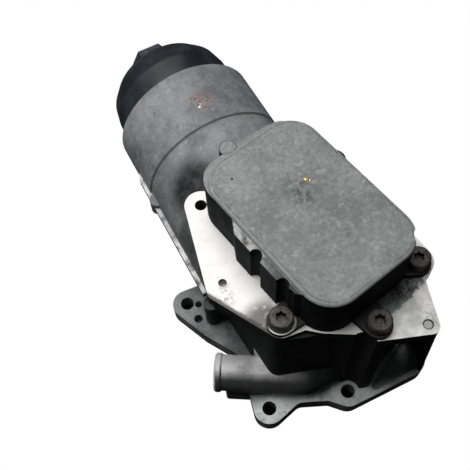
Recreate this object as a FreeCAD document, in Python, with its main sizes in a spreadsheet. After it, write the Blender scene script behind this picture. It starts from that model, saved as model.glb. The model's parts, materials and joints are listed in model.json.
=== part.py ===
import FreeCAD, Part
import Sketcher
import math
import os
import re

# Oil filter housing with a screw-cap cartridge bowl and a bolted oil cooler cover.
# Frame: the engine face is the plane z = 0 and +Z points from the engine to the cooler.
# The bowl axis runs along +Y towards the screw cap, straight above the origin's Y axis.

os.makedirs("parts", exist_ok=True)

# Every driving size in millimetres, angles in degrees, counts as plain numbers
sizes = {
    # Levels above the engine face
    "flange_thickness": 12,  # engine flange thickness
    "deck_clear": 0.4,  # deck above the top of the bowl
    "deck_thickness": 8,  # deck plate thickness
    "block_radius": 5,  # corner radius of the block under the deck
    "block_left": -33,  # corners of the block, middle of their rounding
    "block_right": 41,  # corners of the block, middle of their rounding
    "block_front": -52.5,  # front corner of the block, middle of its rounding
    "heel_depth": 6,  # recess in the flange at its right front corner
    "socket_room": 6.7,  # room round eye B for the head of its bolt
    "over": 1,  # how far a cut or a joined form runs past the face it meets

    # Engine flange eyes: A and B in front, C on the left, E hidden on the right
    "eye_radius": 9.3,  # outer radius of a flange eye
    "engine_hole_radius": 4.25,  # clearance hole for an 8 mm engine bolt
    "eye_a_x": -42.8,  # eye A
    "eye_a_y": -53.2,  # eye A
    "eye_b_x": 3.8,  # eye B
    "eye_b_y": -66.6,  # eye B
    "eye_c_x": -56.1,  # eye C
    "eye_c_y": 31.2,  # eye C
    "eye_e_x": 57,  # eye E
    "eye_e_y": 20,  # eye E
    "eye_fillet": 7,  # hollow beside a flange eye
    "bay_one_x": 16.5,  # hollow in front of eye A, from the eye
    "bay_one_y": 12.8,  # hollow in front of eye A, from the eye
    "bay_two_x": 16.6,  # hollow beside eye B, from the eye
    "bay_two_y": 4.5,  # hollow beside eye B, from the eye
    "bay_two_radius": 6,  # hollow beside eye B
    "left_corner_x": 5,  # flange corner in front of eye C, from the eye
    "left_corner_y": 23,  # flange corner in front of eye C, from the eye
    "left_bay_x": 10,  # hollow behind eye A, from the eye
    "left_bay_y": 36,  # hollow behind eye A, from the eye
    "dowel_one_x": -49.9,  # small blind hole in the flange beside eye C
    "dowel_one_y": 27.3,  # small blind hole in the flange beside eye C
    "dowel_one_radius": 2.2,  # small blind hole in the flange beside eye C
    "dowel_two_x": -54.4,  # second blind hole in the flange
    "dowel_two_y": 18.4,  # second blind hole in the flange
    "dowel_two_radius": 2.8,  # second blind hole in the flange
    "dowel_depth": 9,  # blind holes in the flange
    "side_boss_x": 10.6,  # round boss behind the flange's left edge, from eye C
    "side_boss_y": 17,  # round boss behind the flange's left edge, from eye C
    "side_boss_height": 31.2,  # round boss behind the flange's left edge
    "heel_x": 46,  # right front corner of the flange
    "heel_y": -65.5,  # right front corner of the flange
    "heel_radius": 12,  # right front corner of the flange
    "heel_rim": 3.4,  # rim round the recess in the heel
    "heel_round": 1.9,  # corners of the recess in the heel
    "recess_back": 9.5,  # back corner of the recess, behind the heel's middle
    "recess_side": 8,  # side corner of the recess, from the block's right corner

    # Filter bowl
    "bowl_height": 48,  # bowl axis above the engine face
    "bowl_radius": 46.6,  # outer radius of the bowl's inner half
    "bowl_rim_radius": 47.1,  # outer radius of the bowl's rim half
    "bowl_back": 0,  # closed end of the bowl, outside
    "bowl_floor": 10,  # floor of the bowl, inside
    "bowl_band": 45.5,  # step line round the bowl, from the rim
    "bowl_rim": 139.8,  # rim of the bowl
    "bore_radius": 40,  # bore of the bowl
    "step_groove": 0.9,  # depth of the step line
    "web_width": 2.6,  # parting web beside the bowl
    "web_thickness": 4.4,  # parting web thickness
    "web_start": 16,  # parting web, engine end
    "web_short": 22.8,  # cap end of the parting web, from the rim
    "web_pad_y": 87,  # ejector pad on the parting web
    "web_pad_radius": 5,  # ejector pad on the parting web

    # Cooler and its cover, in a frame of their own turned about the vertical
    "cooler_x": 9.3,  # middle of the cooler cover
    "cooler_y": 0,  # middle of the cooler cover
    "cooler_turn": 10.6,  # turn of the cooler's long side from the bowl axis
    "cover_length": 102.9,  # cooler cover length
    "cover_width": 68.2,  # cooler cover width
    "cover_height": 33.4,  # cooler cover height above the deck
    "cover_corner": 17.5,  # cooler cover corner radius
    "cover_wall": 6,  # cooler cover wall
    "cover_roof": 4.5,  # cooler cover roof
    "cover_edge": 2,  # rounded upper edge of the cover
    "pilaster_width": 14.4,  # width of a pilaster on the right wall
    "pilaster_depth": 3.8,  # how far a pilaster stands out
    "pilaster_slope": 16,  # height of the sloping top of a right pilaster
    "pilaster_pitch": 20.3,  # pitch of the pilasters and of the flutes
    "pilaster_right": -2,  # middle of the first right pilaster
    "front_start": 13.4,  # raised front of the left wall, far end
    "front_end": -27,  # raised front of the left wall, near end
    "front_ramp": 6.7,  # length of the ramps at both ends of the raised front
    "front_drop": 2.4,  # fall of the sloping top of the raised front
    "flute_v": -2.85,  # middle of the first flute
    "flute_radius": 3.9,  # round flute in the raised front
    "flute_out": 0.4,  # middle of a flute, outside the raised front
    "far_depth": 3.8,  # how far the raised front of the far wall stands out
    "far_end": 4,  # raised front of the far wall, short of the right side
    "ejector_radius": 5,  # round ejector column on the far wall
    "ejector_u": -7.8,  # ejector column, across the cover
    "ejector_out": 1.5,  # middle of the ejector column, outside the raised far wall

    # Cover bolts, on the deck
    "boss_radius": 8,  # boss of the housing under a cover bolt
    "lug_radius": 7.5,  # cover lug round a bolt
    "lug_height": 3,  # cover lug thickness
    "lug_root": 10,  # cover lug where it meets the wall
    "bolt_a_x": -27.5,  # cover bolt at the left
    "bolt_a_y": -36.6,  # cover bolt at the left
    "bolt_b_x": 14.8,  # cover bolt in front
    "bolt_b_y": -61.5,  # cover bolt in front
    "bolt_c_x": 51.5,  # cover bolt at the right
    "bolt_c_y": -42.1,  # cover bolt at the right
    "bolt_d_x": 45.5,  # cover bolt on the hidden side
    "bolt_d_y": 31.2,  # cover bolt on the hidden side
    "bolt_radius": 4,  # cover bolt shank
    "bolt_length": 26,  # cover bolt under its head
    "bolt_head_radius": 6.5,  # cover bolt head
    "bolt_head_height": 6.5,  # cover bolt head
    "tap_spare": 1.5,  # depth of a tapped hole beyond its bolt
    "bolt_socket_radius": 3,  # six-lobe socket of a cover bolt
    "bolt_socket_depth": 4,  # six-lobe socket of a cover bolt
    "bolt_gap": 0.05,  # gap round a bolt in its tapped hole
    "lug_gap": 0.5,  # gap round a bolt in a cover lug

    # Machined deck: ear D, the corners and its small holes
    "ear_x": -31.8,  # deck ear D
    "ear_y": 46,  # deck ear D
    "ear_radius": 9.2,  # deck ear D
    "tap_radius": 3.4,  # tapped hole in ear D
    "tap_depth": 18,  # tapped hole in ear D
    "elbow_x": -48.6,  # left corner of the deck
    "elbow_y": -5,  # left corner of the deck
    "toe_x": 38.6,  # front right corner of the deck
    "toe_y": -74.2,  # front right corner of the deck
    "corner_radius": 4.6,  # small deck corners
    "column_c_depth": 30,  # column under the right cover bolt
    "column_depth": 34,  # columns under the hidden cover bolt and the ear
    "column_inset": 0.4,  # column inside the boss it carries
    "ear_bay_x": 14.3,  # hollow between ear D and the cover, from the ear
    "ear_bay_y": 7.5,  # hollow between ear D and the cover, from the ear
    "notch_a_x": 21.5,  # hollow of the block between two bolts, from bolt a
    "notch_a_y": 23.4,  # hollow of the block between two bolts, from bolt a
    "notch_b_x": 15.7,  # hollow of the block beside bolt b, from the bolt
    "notch_b_y": 3.3,  # hollow of the block beside bolt b, from the bolt
    "gap_a_x": 8,  # hollow of the deck beside bolt a, from the bolt
    "gap_a_y": 12,  # hollow of the deck beside bolt a, from the bolt
    "gap_a_radius": 3,  # hollow of the deck beside bolt a
    "gap_b_x": 3.3,  # hollow of the deck behind eye B, from the eye
    "gap_b_y": 2.1,  # hollow of the deck behind eye B, from the eye
    "gap_b_radius": 5,  # hollows of the deck behind eye B, at ear D and below ear C
    "recess_start": 4.8,  # left end of the heel's recess, from bolt b
    "right_ear_radius": 9,  # right ear of the deck
    "neck_x": 3.3,  # hollow of the deck in front of its right ear, from bolt c
    "neck_y": 13.5,  # hollow of the deck in front of its right ear, from bolt c
    "right_ear_x": 1.8,  # right ear of the deck, from bolt c
    "right_ear_y": 1.6,  # right ear of the deck, from bolt c
    "deck_margin": 1,  # deck seen round the cover's corners
    "corner_wall": 3,  # wall from the deck's front right corner to the heel
    "blind_x": -43.1,  # blind hole in the deck
    "blind_y": -2.1,  # blind hole in the deck
    "blind_radius": 2.3,  # blind hole in the deck
    "plug_x": 37.8,  # gallery plug in the deck
    "plug_y": -72.9,  # gallery plug in the deck
    "plug_radius": 2.8,  # gallery plug in the deck
    "plug_sunk": 0.6,  # gallery plug below the deck
    "plug_depth": 7,  # gallery plug in the deck

    # Coolant spigot and its elbow
    "spigot_x": -62.1,  # open end of the spigot
    "spigot_y": -20.8,  # open end of the spigot
    "spigot_height": 22,  # spigot axis above the engine face
    "spigot_turn": -31.5,  # direction in which the spigot runs inwards
    "spigot_radius": 10.8,  # outer radius of the spigot
    "spigot_bore": 8.2,  # bore of the spigot
    "bead_radius": 11.7,  # hose bead at the open end
    "bead_length": 4.5,  # hose bead at the open end
    "spigot_length": 54,  # open end to the elbow
    "foot_start": 6.5,  # support foot, from the open end
    "foot_end": 27,  # support foot, from the open end
    "elbow_run": 43,  # elbow to the coolant chamber

    # Chambers that open on the engine face
    "chamber_roof": 15,  # roof of the chambers, below the deck
    "port_radius": 5.5,  # cooler ports in the deck
    "seal_seat_radius": 8.2,  # seat round a cooler port
    "seal_seat_depth": 2,  # seat round a cooler port

    # Screw cap
    "cap_radius": 41.4,  # outer radius of the cap
    "cap_lift_gap": 0.3,  # cap flange to the bowl rim
    "cap_straight": 17.7,  # straight part of the cap, beyond the bowl rim
    "cap_dome": 25,  # length of the cap's dome
    "cap_wall": 3.4,  # cap wall
    "cap_hex": 27,  # across the flats of the cap's hexagon
    "cap_hex_length": 14.9,  # length of the cap's hexagon
    "thread_gap": 0.1,  # cap skirt in the bowl's bore
    "skirt_length": 20,  # cap skirt inside the bowl
    "seal_groove": 2.6,  # depth of the cap's seal groove
    "seal_width": 3.6,  # width of the cap's seal groove
    "cap_seal_offset": 4.5,  # cap's seal groove below the rim
    "seal_gap": 0.3,  # free space round a moving seal

    # Cartridge
    "media_radius": 32,  # pleat tips of the filter paper
    "media_valley": 19.5,  # pleat roots of the filter paper
    "pleats": 36,  # pleats round the cartridge
    "media_start": 16,  # filter paper, engine end
    "media_rise": 6.2,  # filter paper, beyond the bowl rim
    "disc_radius": 33.6,  # cartridge end disc
    "disc_thickness": 2.4,  # cartridge end disc
    "neck_radius": 13,  # neck of the cartridge under the cap
    "neck_wall": 2,  # neck of the cartridge under the cap
    "neck_window": 8,  # oil windows in the neck
    "tube_radius": 18.6,  # perforated support tube
    "tube_wall": 1.6,  # perforated support tube
    "tube_window": 7,  # window height in the support tube
    "cartridge_gap": 0.4,  # cartridge seal round the standpipe

    # Standpipe and bypass valve
    "pipe_radius": 14,  # standpipe outer radius
    "pipe_wall": 2,  # standpipe wall
    "pipe_seat": 6,  # length of standpipe held in the bowl floor
    "press_gap": 0.02,  # gap of a pressed ring in its seat
    "valve_ring": 3,  # length of a valve seat ring
    "valve_hole": 7,  # opening of the bypass seat
    "valve_disc_radius": 9.5,  # bypass valve disc
    "valve_disc": 1.8,  # bypass valve disc thickness
    "valve_travel": 4,  # bypass valve opening
    "valve_face_gap": 0.05,  # valve disc to its seat when shut
    "spring_wire": 0.8,  # valve spring wire radius
    "spring_length": 16,  # valve spring length, fitted
    "spring_radius": 6.6,  # valve spring mean radius
    "spring_turns": 5,  # valve spring turns
    "spring_gap": 0.3,  # free space at the ends of a spring

    # Check valve in the oil inlet
    "check_radius": 5,  # check valve disc
    "inlet_left": -17,  # oil inlet chamber
    "inlet_right": 14,  # oil inlet chamber
    "inlet_front": -36,  # oil inlet chamber
    "inlet_back": -23,  # oil inlet chamber
    "chamber_corner": 3,  # corner radius of the chambers
    "check_spring_radius": 3,  # check valve spring mean radius
    "check_spring_wire": 0.5,  # check valve spring wire radius
    "check_spring_length": 12,  # check valve spring length, fitted
    "check_hole": 3.6,  # opening of the check valve seat
    "check_height": 20,  # check valve above the engine face
    "check_travel": 3,  # check valve opening

    # Cooler core and its fixings
    "core_end_gap": 2.45,  # cooler base plate to the end walls of the cover
    "core_side_gap": 2.1,  # cooler base plate to the side walls of the cover
    "core_corner": 9,  # cooler base plate corners
    "core_plate": 2.4,  # cooler base plate thickness
    "core_height": 26,  # cooler stack height above the deck
    "core_inset": 3,  # cooler stack inside its base plate
    "fin_pitch": 3.2,  # pitch of the cooler's plates
    "fin_depth": 1.6,  # groove between two cooler plates
    "fin_gap": 1.2,  # groove between two cooler plates
    "screw_side": 5.5,  # cooler screws, from the long edges of the base plate
    "screw_end": 5,  # cooler screws, from the short edges of the base plate
    "screw_radius": 1.9,  # cooler screw shank
    "screw_head": 3.4,  # cooler screw head radius
    "screw_head_height": 2.2,  # cooler screw head height
    "screw_depth": 6,  # cooler screw in the deck

    # Seals on the engine face and under the cover
    "face_seal_left": -35.5,  # engine face seal, middle line
    "face_seal_right": 45.2,  # engine face seal, middle line
    "face_seal_front": -54.8,  # engine face seal, middle line
    "face_seal_back": 1.6,  # engine face seal, middle line
    "face_seal_width": 3,  # engine face seal width
    "face_seal_depth": 2.4,  # engine face seal depth
    "face_seal_corner": 8,  # engine face seal corner
    "cover_seal_width": 2.4,  # cover seal width
    "cover_seal_depth": 2.2,  # cover seal depth
    "seat_gap": 0.1,  # side gap of a static seal in its groove
}

# Sizes that follow from the ones above
derived = {
    "deck_height": "bowl_height + bowl_radius + deck_clear",
    "chamber_top": "deck_height - chamber_roof",
    "bowl_step": "bowl_rim - bowl_band",
    "web_end": "bowl_rim - web_short",
    "cap_shoulder": "bowl_rim + cap_straight",
    "cap_end": "cap_shoulder + cap_dome",
    "cap_hex_end": "cap_end + cap_hex_length",
    "media_end": "bowl_rim + media_rise",
    "core_length": "cover_length - 2 * (cover_wall + core_end_gap)",
    "core_width": "cover_width - 2 * (cover_wall + core_side_gap)",
    "screw_u": "core_width / 2 - screw_side",
    "screw_v": "core_length / 2 - screw_end",
}

doc = FreeCAD.newDocument("oil_filter_housing")
sheet = doc.addObject("Spreadsheet::Sheet", "Sizes")
for row, (alias, amount) in enumerate(sizes.items(), start=1):
    sheet.set("A%d" % row, alias)
    sheet.set("B%d" % row, str(amount))
    sheet.setAlias("B%d" % row, alias)
doc.recompute()


def bind(text):
    """The same expression with every size read from the sheet."""
    def prefix(word):
        if word.group() in derived:
            return "(%s)" % bind(derived[word.group()])
        return "Sizes." + word.group() if word.group() in sizes else word.group()
    return re.sub(r"[A-Za-z_][A-Za-z_0-9]*", prefix, text)


def number(text):
    """Present value of an expression of sizes."""
    return float(sheet.evalExpression(bind(text)))


def tie(thing, prop, text):
    """Bind a property to an expression of sizes."""
    thing.setExpression(prop, bind(text))


def new_body(label):
    body = doc.addObject("PartDesign::Body", label)
    body.Label = label
    return body


def move(thing, x="0", y="0", z="0", turn="0"):
    """Place a sub-part by expressions of sizes, with a turn about the vertical."""
    spot = FreeCAD.Vector(number(x), number(y), number(z))
    thing.Placement = FreeCAD.Placement(spot, FreeCAD.Rotation(FreeCAD.Vector(0, 0, 1), number(turn)))
    tie(thing, "Placement.Base.x", x)
    tie(thing, "Placement.Base.y", y)
    tie(thing, "Placement.Base.z", z)
    tie(thing, "Placement.Rotation.Angle", turn)


def new_sketch(body, name, plane, x="0", y="0", lift="0", turn="0"):
    """Empty sketch on one of the body's own planes, shifted by expressions of sizes."""
    sketch = body.newObject("Sketcher::SketchObject", name)
    faces = [item for item in body.Origin.OriginFeatures if item.Role == plane]
    sketch.AttachmentSupport = [(faces[0], "")]
    sketch.MapMode = "FlatFace"
    spot = FreeCAD.Vector(number(x), number(y), number(lift))
    spin = FreeCAD.Rotation(FreeCAD.Vector(0, 0, 1), number(turn))
    sketch.AttachmentOffset = FreeCAD.Placement(spot, spin)
    tie(sketch, "AttachmentOffset.Base.x", x)
    tie(sketch, "AttachmentOffset.Base.y", y)
    tie(sketch, "AttachmentOffset.Base.z", lift)
    tie(sketch, "AttachmentOffset.Rotation.Angle", turn)
    return sketch


def dimension(sketch, kind, entity, vertex, text):
    """Distance of a vertex from the sketch origin, along one axis."""
    row = sketch.addConstraint(Sketcher.Constraint(kind, -1, 1, entity, vertex, number(text)))
    tie(sketch, "Constraints[%d]" % row, text)


def add_circle(sketch, x, y, radius):
    centre = FreeCAD.Vector(number(x), number(y), 0)
    edge = sketch.addGeometry(Part.Circle(centre, FreeCAD.Vector(0, 0, 1), number(radius)))
    dimension(sketch, "DistanceX", edge, 3, x)
    dimension(sketch, "DistanceY", edge, 3, y)
    row = sketch.addConstraint(Sketcher.Constraint("Radius", edge, number(radius)))
    tie(sketch, "Constraints[%d]" % row, radius)


def add_polygon(sketch, corners):
    """Closed outline with sharp corners."""
    spots = [FreeCAD.Vector(number(x), number(y), 0) for x, y in corners]
    count = len(corners)
    edges = []
    for index in range(count):
        line = Part.LineSegment(spots[index], spots[(index + 1) % count])
        edges.append(sketch.addGeometry(line))
    for index in range(count):
        sketch.addConstraint(Sketcher.Constraint("Coincident", edges[index], 2, edges[(index + 1) % count], 1))
        dimension(sketch, "DistanceX", edges[index], 1, corners[index][0])
        dimension(sketch, "DistanceY", edges[index], 1, corners[index][1])


def add_belt(sketch, discs):
    """Closed outline of arcs joined by their tangents, as a belt runs round pulleys.

    A disc is (x, y, radius, side): side 1 lies inside the outline, side -1 outside it.
    """
    count = len(discs)
    centres = [FreeCAD.Vector(number(disc[0]), number(disc[1]), 0) for disc in discs]
    reaches = [number(disc[2]) * disc[3] for disc in discs]
    leave = []
    arrive = [None] * count
    for index in range(count):
        following = (index + 1) % count
        span = centres[following] - centres[index]
        lean = math.acos((reaches[following] - reaches[index]) / span.Length)
        angle = math.atan2(span.y, span.x) + lean
        normal = FreeCAD.Vector(math.cos(angle), math.sin(angle), 0)
        leave.append(centres[index] - normal * reaches[index])
        arrive[following] = centres[following] - normal * reaches[following]
    arcs = []
    for index in range(count):
        first = arrive[index] - centres[index]
        last = leave[index] - centres[index]
        if discs[index][3] < 0:
            first, last = last, first
        start = math.atan2(first.y, first.x)
        sweep = (math.atan2(last.y, last.x) - start) % (2 * math.pi)
        circle = Part.Circle(centres[index], FreeCAD.Vector(0, 0, 1), abs(reaches[index]))
        arcs.append(sketch.addGeometry(Part.ArcOfCircle(circle, start, start + sweep)))
    lines = []
    for index in range(count):
        line = Part.LineSegment(leave[index], arrive[(index + 1) % count])
        lines.append(sketch.addGeometry(line))
    for index in range(count):
        following = (index + 1) % count
        exit_end = 2 if discs[index][3] > 0 else 1
        entry_end = 1 if discs[following][3] > 0 else 2
        sketch.addConstraint(Sketcher.Constraint("Tangent", lines[index], 1, arcs[index], exit_end))
        sketch.addConstraint(Sketcher.Constraint("Tangent", lines[index], 2, arcs[following], entry_end))
    for index in range(count):
        dimension(sketch, "DistanceX", arcs[index], 3, discs[index][0])
        dimension(sketch, "DistanceY", arcs[index], 3, discs[index][1])
        row = sketch.addConstraint(Sketcher.Constraint("Radius", arcs[index], abs(reaches[index])))
        tie(sketch, "Constraints[%d]" % row, discs[index][2])


def add_rounded_box(sketch, left, right, front, back, radius):
    """Rounded rectangle between four expressions of sizes."""
    near_x = "(%s) + (%s)" % (left, radius)
    far_x = "(%s) - (%s)" % (right, radius)
    near_y = "(%s) + (%s)" % (front, radius)
    far_y = "(%s) - (%s)" % (back, radius)
    add_belt(sketch, [(near_x, near_y, radius, 1), (far_x, near_y, radius, 1),
                      (far_x, far_y, radius, 1), (near_x, far_y, radius, 1)])


def pad(body, name, sketch, length, down=False, both=False):
    feature = body.newObject("PartDesign::Pad", name)
    feature.Profile = sketch
    tie(feature, "Length", length)
    feature.Reversed = down
    if both:
        feature.SideType = "Symmetric"
    return feature


def pocket(body, name, sketch, length, up=False):
    feature = body.newObject("PartDesign::Pocket", name)
    feature.Profile = sketch
    tie(feature, "Length", length)
    feature.Reversed = up
    return feature


def turn_solid(body, name, sketch, axis="V_Axis"):
    feature = body.newObject("PartDesign::Revolution", name)
    feature.Profile = sketch
    feature.ReferenceAxis = (sketch, [axis])
    feature.Angle = 360
    return feature


def turn_cut(body, name, sketch, axis="V_Axis"):
    feature = body.newObject("PartDesign::Groove", name)
    feature.Profile = sketch
    feature.ReferenceAxis = (sketch, [axis])
    feature.Angle = 360
    return feature


def turn_pattern(body, name, feature, copies):
    """Copies of a feature round the bowl axis."""
    doc.recompute()
    ring = body.newObject("PartDesign::PolarPattern", name)
    ring.Originals = [feature]
    axis = [item for item in body.Origin.OriginFeatures if item.Role == "Y_Axis"]
    ring.Axis = (axis[0], [""])
    ring.Angle = 360
    ring.Occurrences = copies
    body.Tip = ring
    return ring


def row_pattern(body, name, feature, role, pitch, copies, backwards=False):
    """Copies of a feature in a row along one of the body's own axes."""
    doc.recompute()
    row = body.newObject("PartDesign::LinearPattern", name)
    row.Originals = [feature]
    axis = [item for item in body.Origin.OriginFeatures if item.Role == role]
    row.Direction = (axis[0], [""])
    row.Reversed = backwards
    tie(row, "Length", "(%s) * %d" % (pitch, copies - 1))
    row.Occurrences = copies
    body.Tip = row
    return row


def ring_body(label, inner, outer, start, end):
    """Plain turned ring about the bowl axis."""
    body = new_body(label)
    sketch = new_sketch(body, label + "_section", "XY_Plane")
    add_polygon(sketch, [(inner, start), (outer, start), (outer, end), (inner, end)])
    turn_solid(body, label + "_turn", sketch)
    move(body, z="bowl_height")
    return body


cover_bolts = (("bolt_a_x", "bolt_a_y"), ("bolt_b_x", "bolt_b_y"),
               ("bolt_c_x", "bolt_c_y"), ("bolt_d_x", "bolt_d_y"))
engine_eyes = (("eye_a_x", "eye_a_y"), ("eye_b_x", "eye_b_y"),
               ("eye_c_x", "eye_c_y"), ("eye_e_x", "eye_e_y"))

# Chambers: name, left, right, front, back and roof
chambers = (("oil_inlet_chamber", "inlet_left", "inlet_right", "inlet_front", "inlet_back", "chamber_top"),
            ("coolant_inlet_chamber", "24", "41", "-50", "-24", "chamber_top"),
            ("coolant_outlet_chamber", "20", "41", "-19", "-4", "chamber_top"),
            ("clean_oil_chamber", "-12", "12", "-17", "-6", "bowl_height + pipe_radius"),
            ("lightening_pocket", "-32", "-22", "-24", "-4", "chamber_top - deck_thickness"))

# Cooler ports in the cooler's own frame: across and along
cooler_ports = (("oil_in", "-17", "-26"), ("oil_out", "-8", "32"),
                ("coolant_in", "17", "-36"), ("coolant_out", "17", "-14"))


def to_deck(across, along):
    """Deck position of a point given in the cooler's turned frame."""
    x = "cooler_x + (%s) * cos(cooler_turn) - (%s) * sin(cooler_turn)" % (across, along)
    y = "cooler_y + (%s) * sin(cooler_turn) + (%s) * cos(cooler_turn)" % (across, along)
    return x, y


def to_cooler(x, y):
    """Position in the cooler's turned frame of a point on the deck."""
    across = "((%s) - cooler_x) * cos(cooler_turn) + ((%s) - cooler_y) * sin(cooler_turn)" % (x, y)
    along = "((%s) - cooler_y) * cos(cooler_turn) - ((%s) - cooler_x) * sin(cooler_turn)" % (y, x)
    return across, along


def fan(x, y, outer, inner):
    """Corners of a bent wall: part of a ring round the point (x, y), then straight back beside the block."""
    turns = (-75, -50, -25, 0)
    ring = [("%s + (%s) * cos(%d)" % (x, outer, turn), "%s + (%s) * sin(%d)" % (y, outer, turn)) for turn in turns]
    back = [("%s + (%s) * cos(%d)" % (x, inner, turn), "%s + (%s) * sin(%d)" % (y, inner, turn)) for turn in turns]
    ends = [("%s + %s" % (x, outer), "block_front - over"), ("%s + %s" % (x, inner), "block_front - over")]
    return ring + ends + back[::-1]


def make_housing():
    """The main casting: flange, block, deck, bowl and spigot, with its bores."""
    body = new_body("housing")

    plan = new_sketch(body, "flange_plan", "XY_Plane")
    add_belt(plan, [
        ("eye_a_x", "eye_a_y", "eye_radius", 1),
        ("eye_a_x + bay_one_x", "eye_a_y - bay_one_y", "eye_fillet", -1),
        ("eye_b_x - bay_two_x", "eye_b_y - bay_two_y", "bay_two_radius", -1),
        ("eye_b_x", "eye_b_y", "eye_radius", 1),
        ("heel_x", "heel_y", "heel_radius", 1),
        ("eye_e_x", "eye_e_y", "eye_radius", 1),
        ("eye_c_x", "eye_c_y", "eye_radius", 1),
        ("eye_c_x + left_corner_x", "eye_c_y - left_corner_y", "block_radius", 1),
        ("eye_a_x - left_bay_x", "eye_a_y + left_bay_y", "eye_radius", -1)])
    pad(body, "flange_plate", plan, "flange_thickness")

    plan = new_sketch(body, "block_plan", "XY_Plane")
    add_belt(plan, [
        ("bolt_a_x", "bolt_a_y", "boss_radius", 1),
        ("bolt_a_x + notch_a_x", "bolt_a_y - notch_a_y", "eye_fillet", -1),
        ("bolt_b_x", "bolt_b_y", "boss_radius", 1),
        ("bolt_b_x + notch_b_x", "bolt_b_y - notch_b_y", "corner_radius", -1),
        ("block_right", "block_front", "block_radius", 1),
        ("block_right", "bowl_floor", "block_radius", 1),
        ("block_left", "bowl_floor", "block_radius", 1)])
    pad(body, "block", plan, "deck_height - deck_thickness / 2")

    plan = new_sketch(body, "deck_plan", "XY_Plane", lift="deck_height")
    side_u = "cover_width / 2 - cover_corner"
    side_v = "cover_length / 2 - cover_corner"
    far_x, far_y = to_deck(side_u, side_v + " + far_depth")
    near_x, near_y = to_deck("-(%s)" % side_u, "-(%s)" % side_v)
    add_belt(plan, [
        ("bolt_a_x", "bolt_a_y", "boss_radius", 1),
        ("bolt_a_x + gap_a_x", "bolt_a_y - gap_a_y", "gap_a_radius", -1),
        (near_x, near_y, "cover_corner + deck_margin", 1),
        ("eye_b_x - gap_b_x", "eye_b_y + gap_b_y", "gap_b_radius", -1),
        ("bolt_b_x", "bolt_b_y", "boss_radius", 1),
        ("toe_x", "toe_y", "corner_radius", 1),
        ("bolt_c_x + neck_x", "bolt_c_y - neck_y", "gap_b_radius", -1),
        ("bolt_c_x + right_ear_x", "bolt_c_y + right_ear_y", "right_ear_radius", 1),
        ("bolt_d_x", "bolt_d_y", "boss_radius", 1),
        (far_x, far_y, "cover_corner + deck_margin", 1),
        ("ear_x + ear_bay_x", "ear_y + ear_bay_y", "gap_b_radius", -1),
        ("ear_x", "ear_y", "ear_radius", 1),
        ("elbow_x", "elbow_y", "corner_radius", 1)])
    pad(body, "deck", plan, "deck_thickness", down=True)

    for label, x, y, low in (("column_c", "bolt_c_x", "bolt_c_y", "column_c_depth"),
                             ("column_d", "bolt_d_x", "bolt_d_y", "column_depth"),
                             ("ear_column", "ear_x", "ear_y", "column_depth")):
        plan = new_sketch(body, label + "_plan", "XY_Plane", lift="deck_height - deck_thickness / 2")
        add_circle(plan, x, y, "boss_radius - column_inset")
        pad(body, label, plan, low, down=True)

    # Corner wall from the deck's front right corner down to the flange's heel
    low = new_sketch(body, "corner_low", "XY_Plane", lift="flange_thickness / 2")
    add_polygon(low, fan("heel_x", "heel_y", "heel_radius - seat_gap", "heel_radius - corner_wall"))
    high = new_sketch(body, "corner_high", "XY_Plane", lift="deck_height - deck_thickness / 2")
    add_polygon(high, fan("toe_x", "toe_y", "corner_radius - seat_gap", "corner_radius - corner_wall"))
    wall = body.newObject("PartDesign::AdditiveLoft", "corner_wall")
    wall.Profile = low
    wall.Sections = [high]
    wall.Ruled = True

    section = new_sketch(body, "bowl_section", "XY_Plane", lift="bowl_height")
    add_polygon(section, [
        ("0", "bowl_back"), ("bowl_radius - 8", "bowl_back"),
        ("bowl_radius", "bowl_back + 8"), ("bowl_radius", "bowl_step - step_groove"),
        ("bowl_radius - step_groove", "bowl_step"), ("bowl_rim_radius", "bowl_step + step_groove"),
        ("bowl_rim_radius", "bowl_rim - 1"), ("bowl_rim_radius - 1", "bowl_rim"),
        ("0", "bowl_rim")])
    turn_solid(body, "bowl", section)

    plan = new_sketch(body, "web_plan", "XY_Plane", lift="bowl_height")
    edge = "bowl_radius + web_width"
    add_polygon(plan, [
        ("-(%s)" % edge, "web_start"), (edge, "web_start"),
        (edge, "web_end - 10"), ("bowl_radius - 1", "web_end"),
        ("1 - bowl_radius", "web_end"), ("-(%s)" % edge, "web_end - 10")])
    pad(body, "parting_web", plan, "web_thickness", both=True)
    plan = new_sketch(body, "web_pad_plan", "XY_Plane", lift="bowl_height")
    add_circle(plan, "1 - bowl_radius", "web_pad_y", "web_pad_radius")
    add_circle(plan, "bowl_radius - 1", "web_pad_y", "web_pad_radius")
    pad(body, "web_pads", plan, "web_thickness * 2.4", both=True)

    plan = new_sketch(body, "side_boss_plan", "XY_Plane", lift="flange_thickness / 2")
    add_circle(plan, "eye_c_x + side_boss_x", "eye_c_y - side_boss_y", "block_radius")
    pad(body, "side_boss", plan, "side_boss_height")

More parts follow.
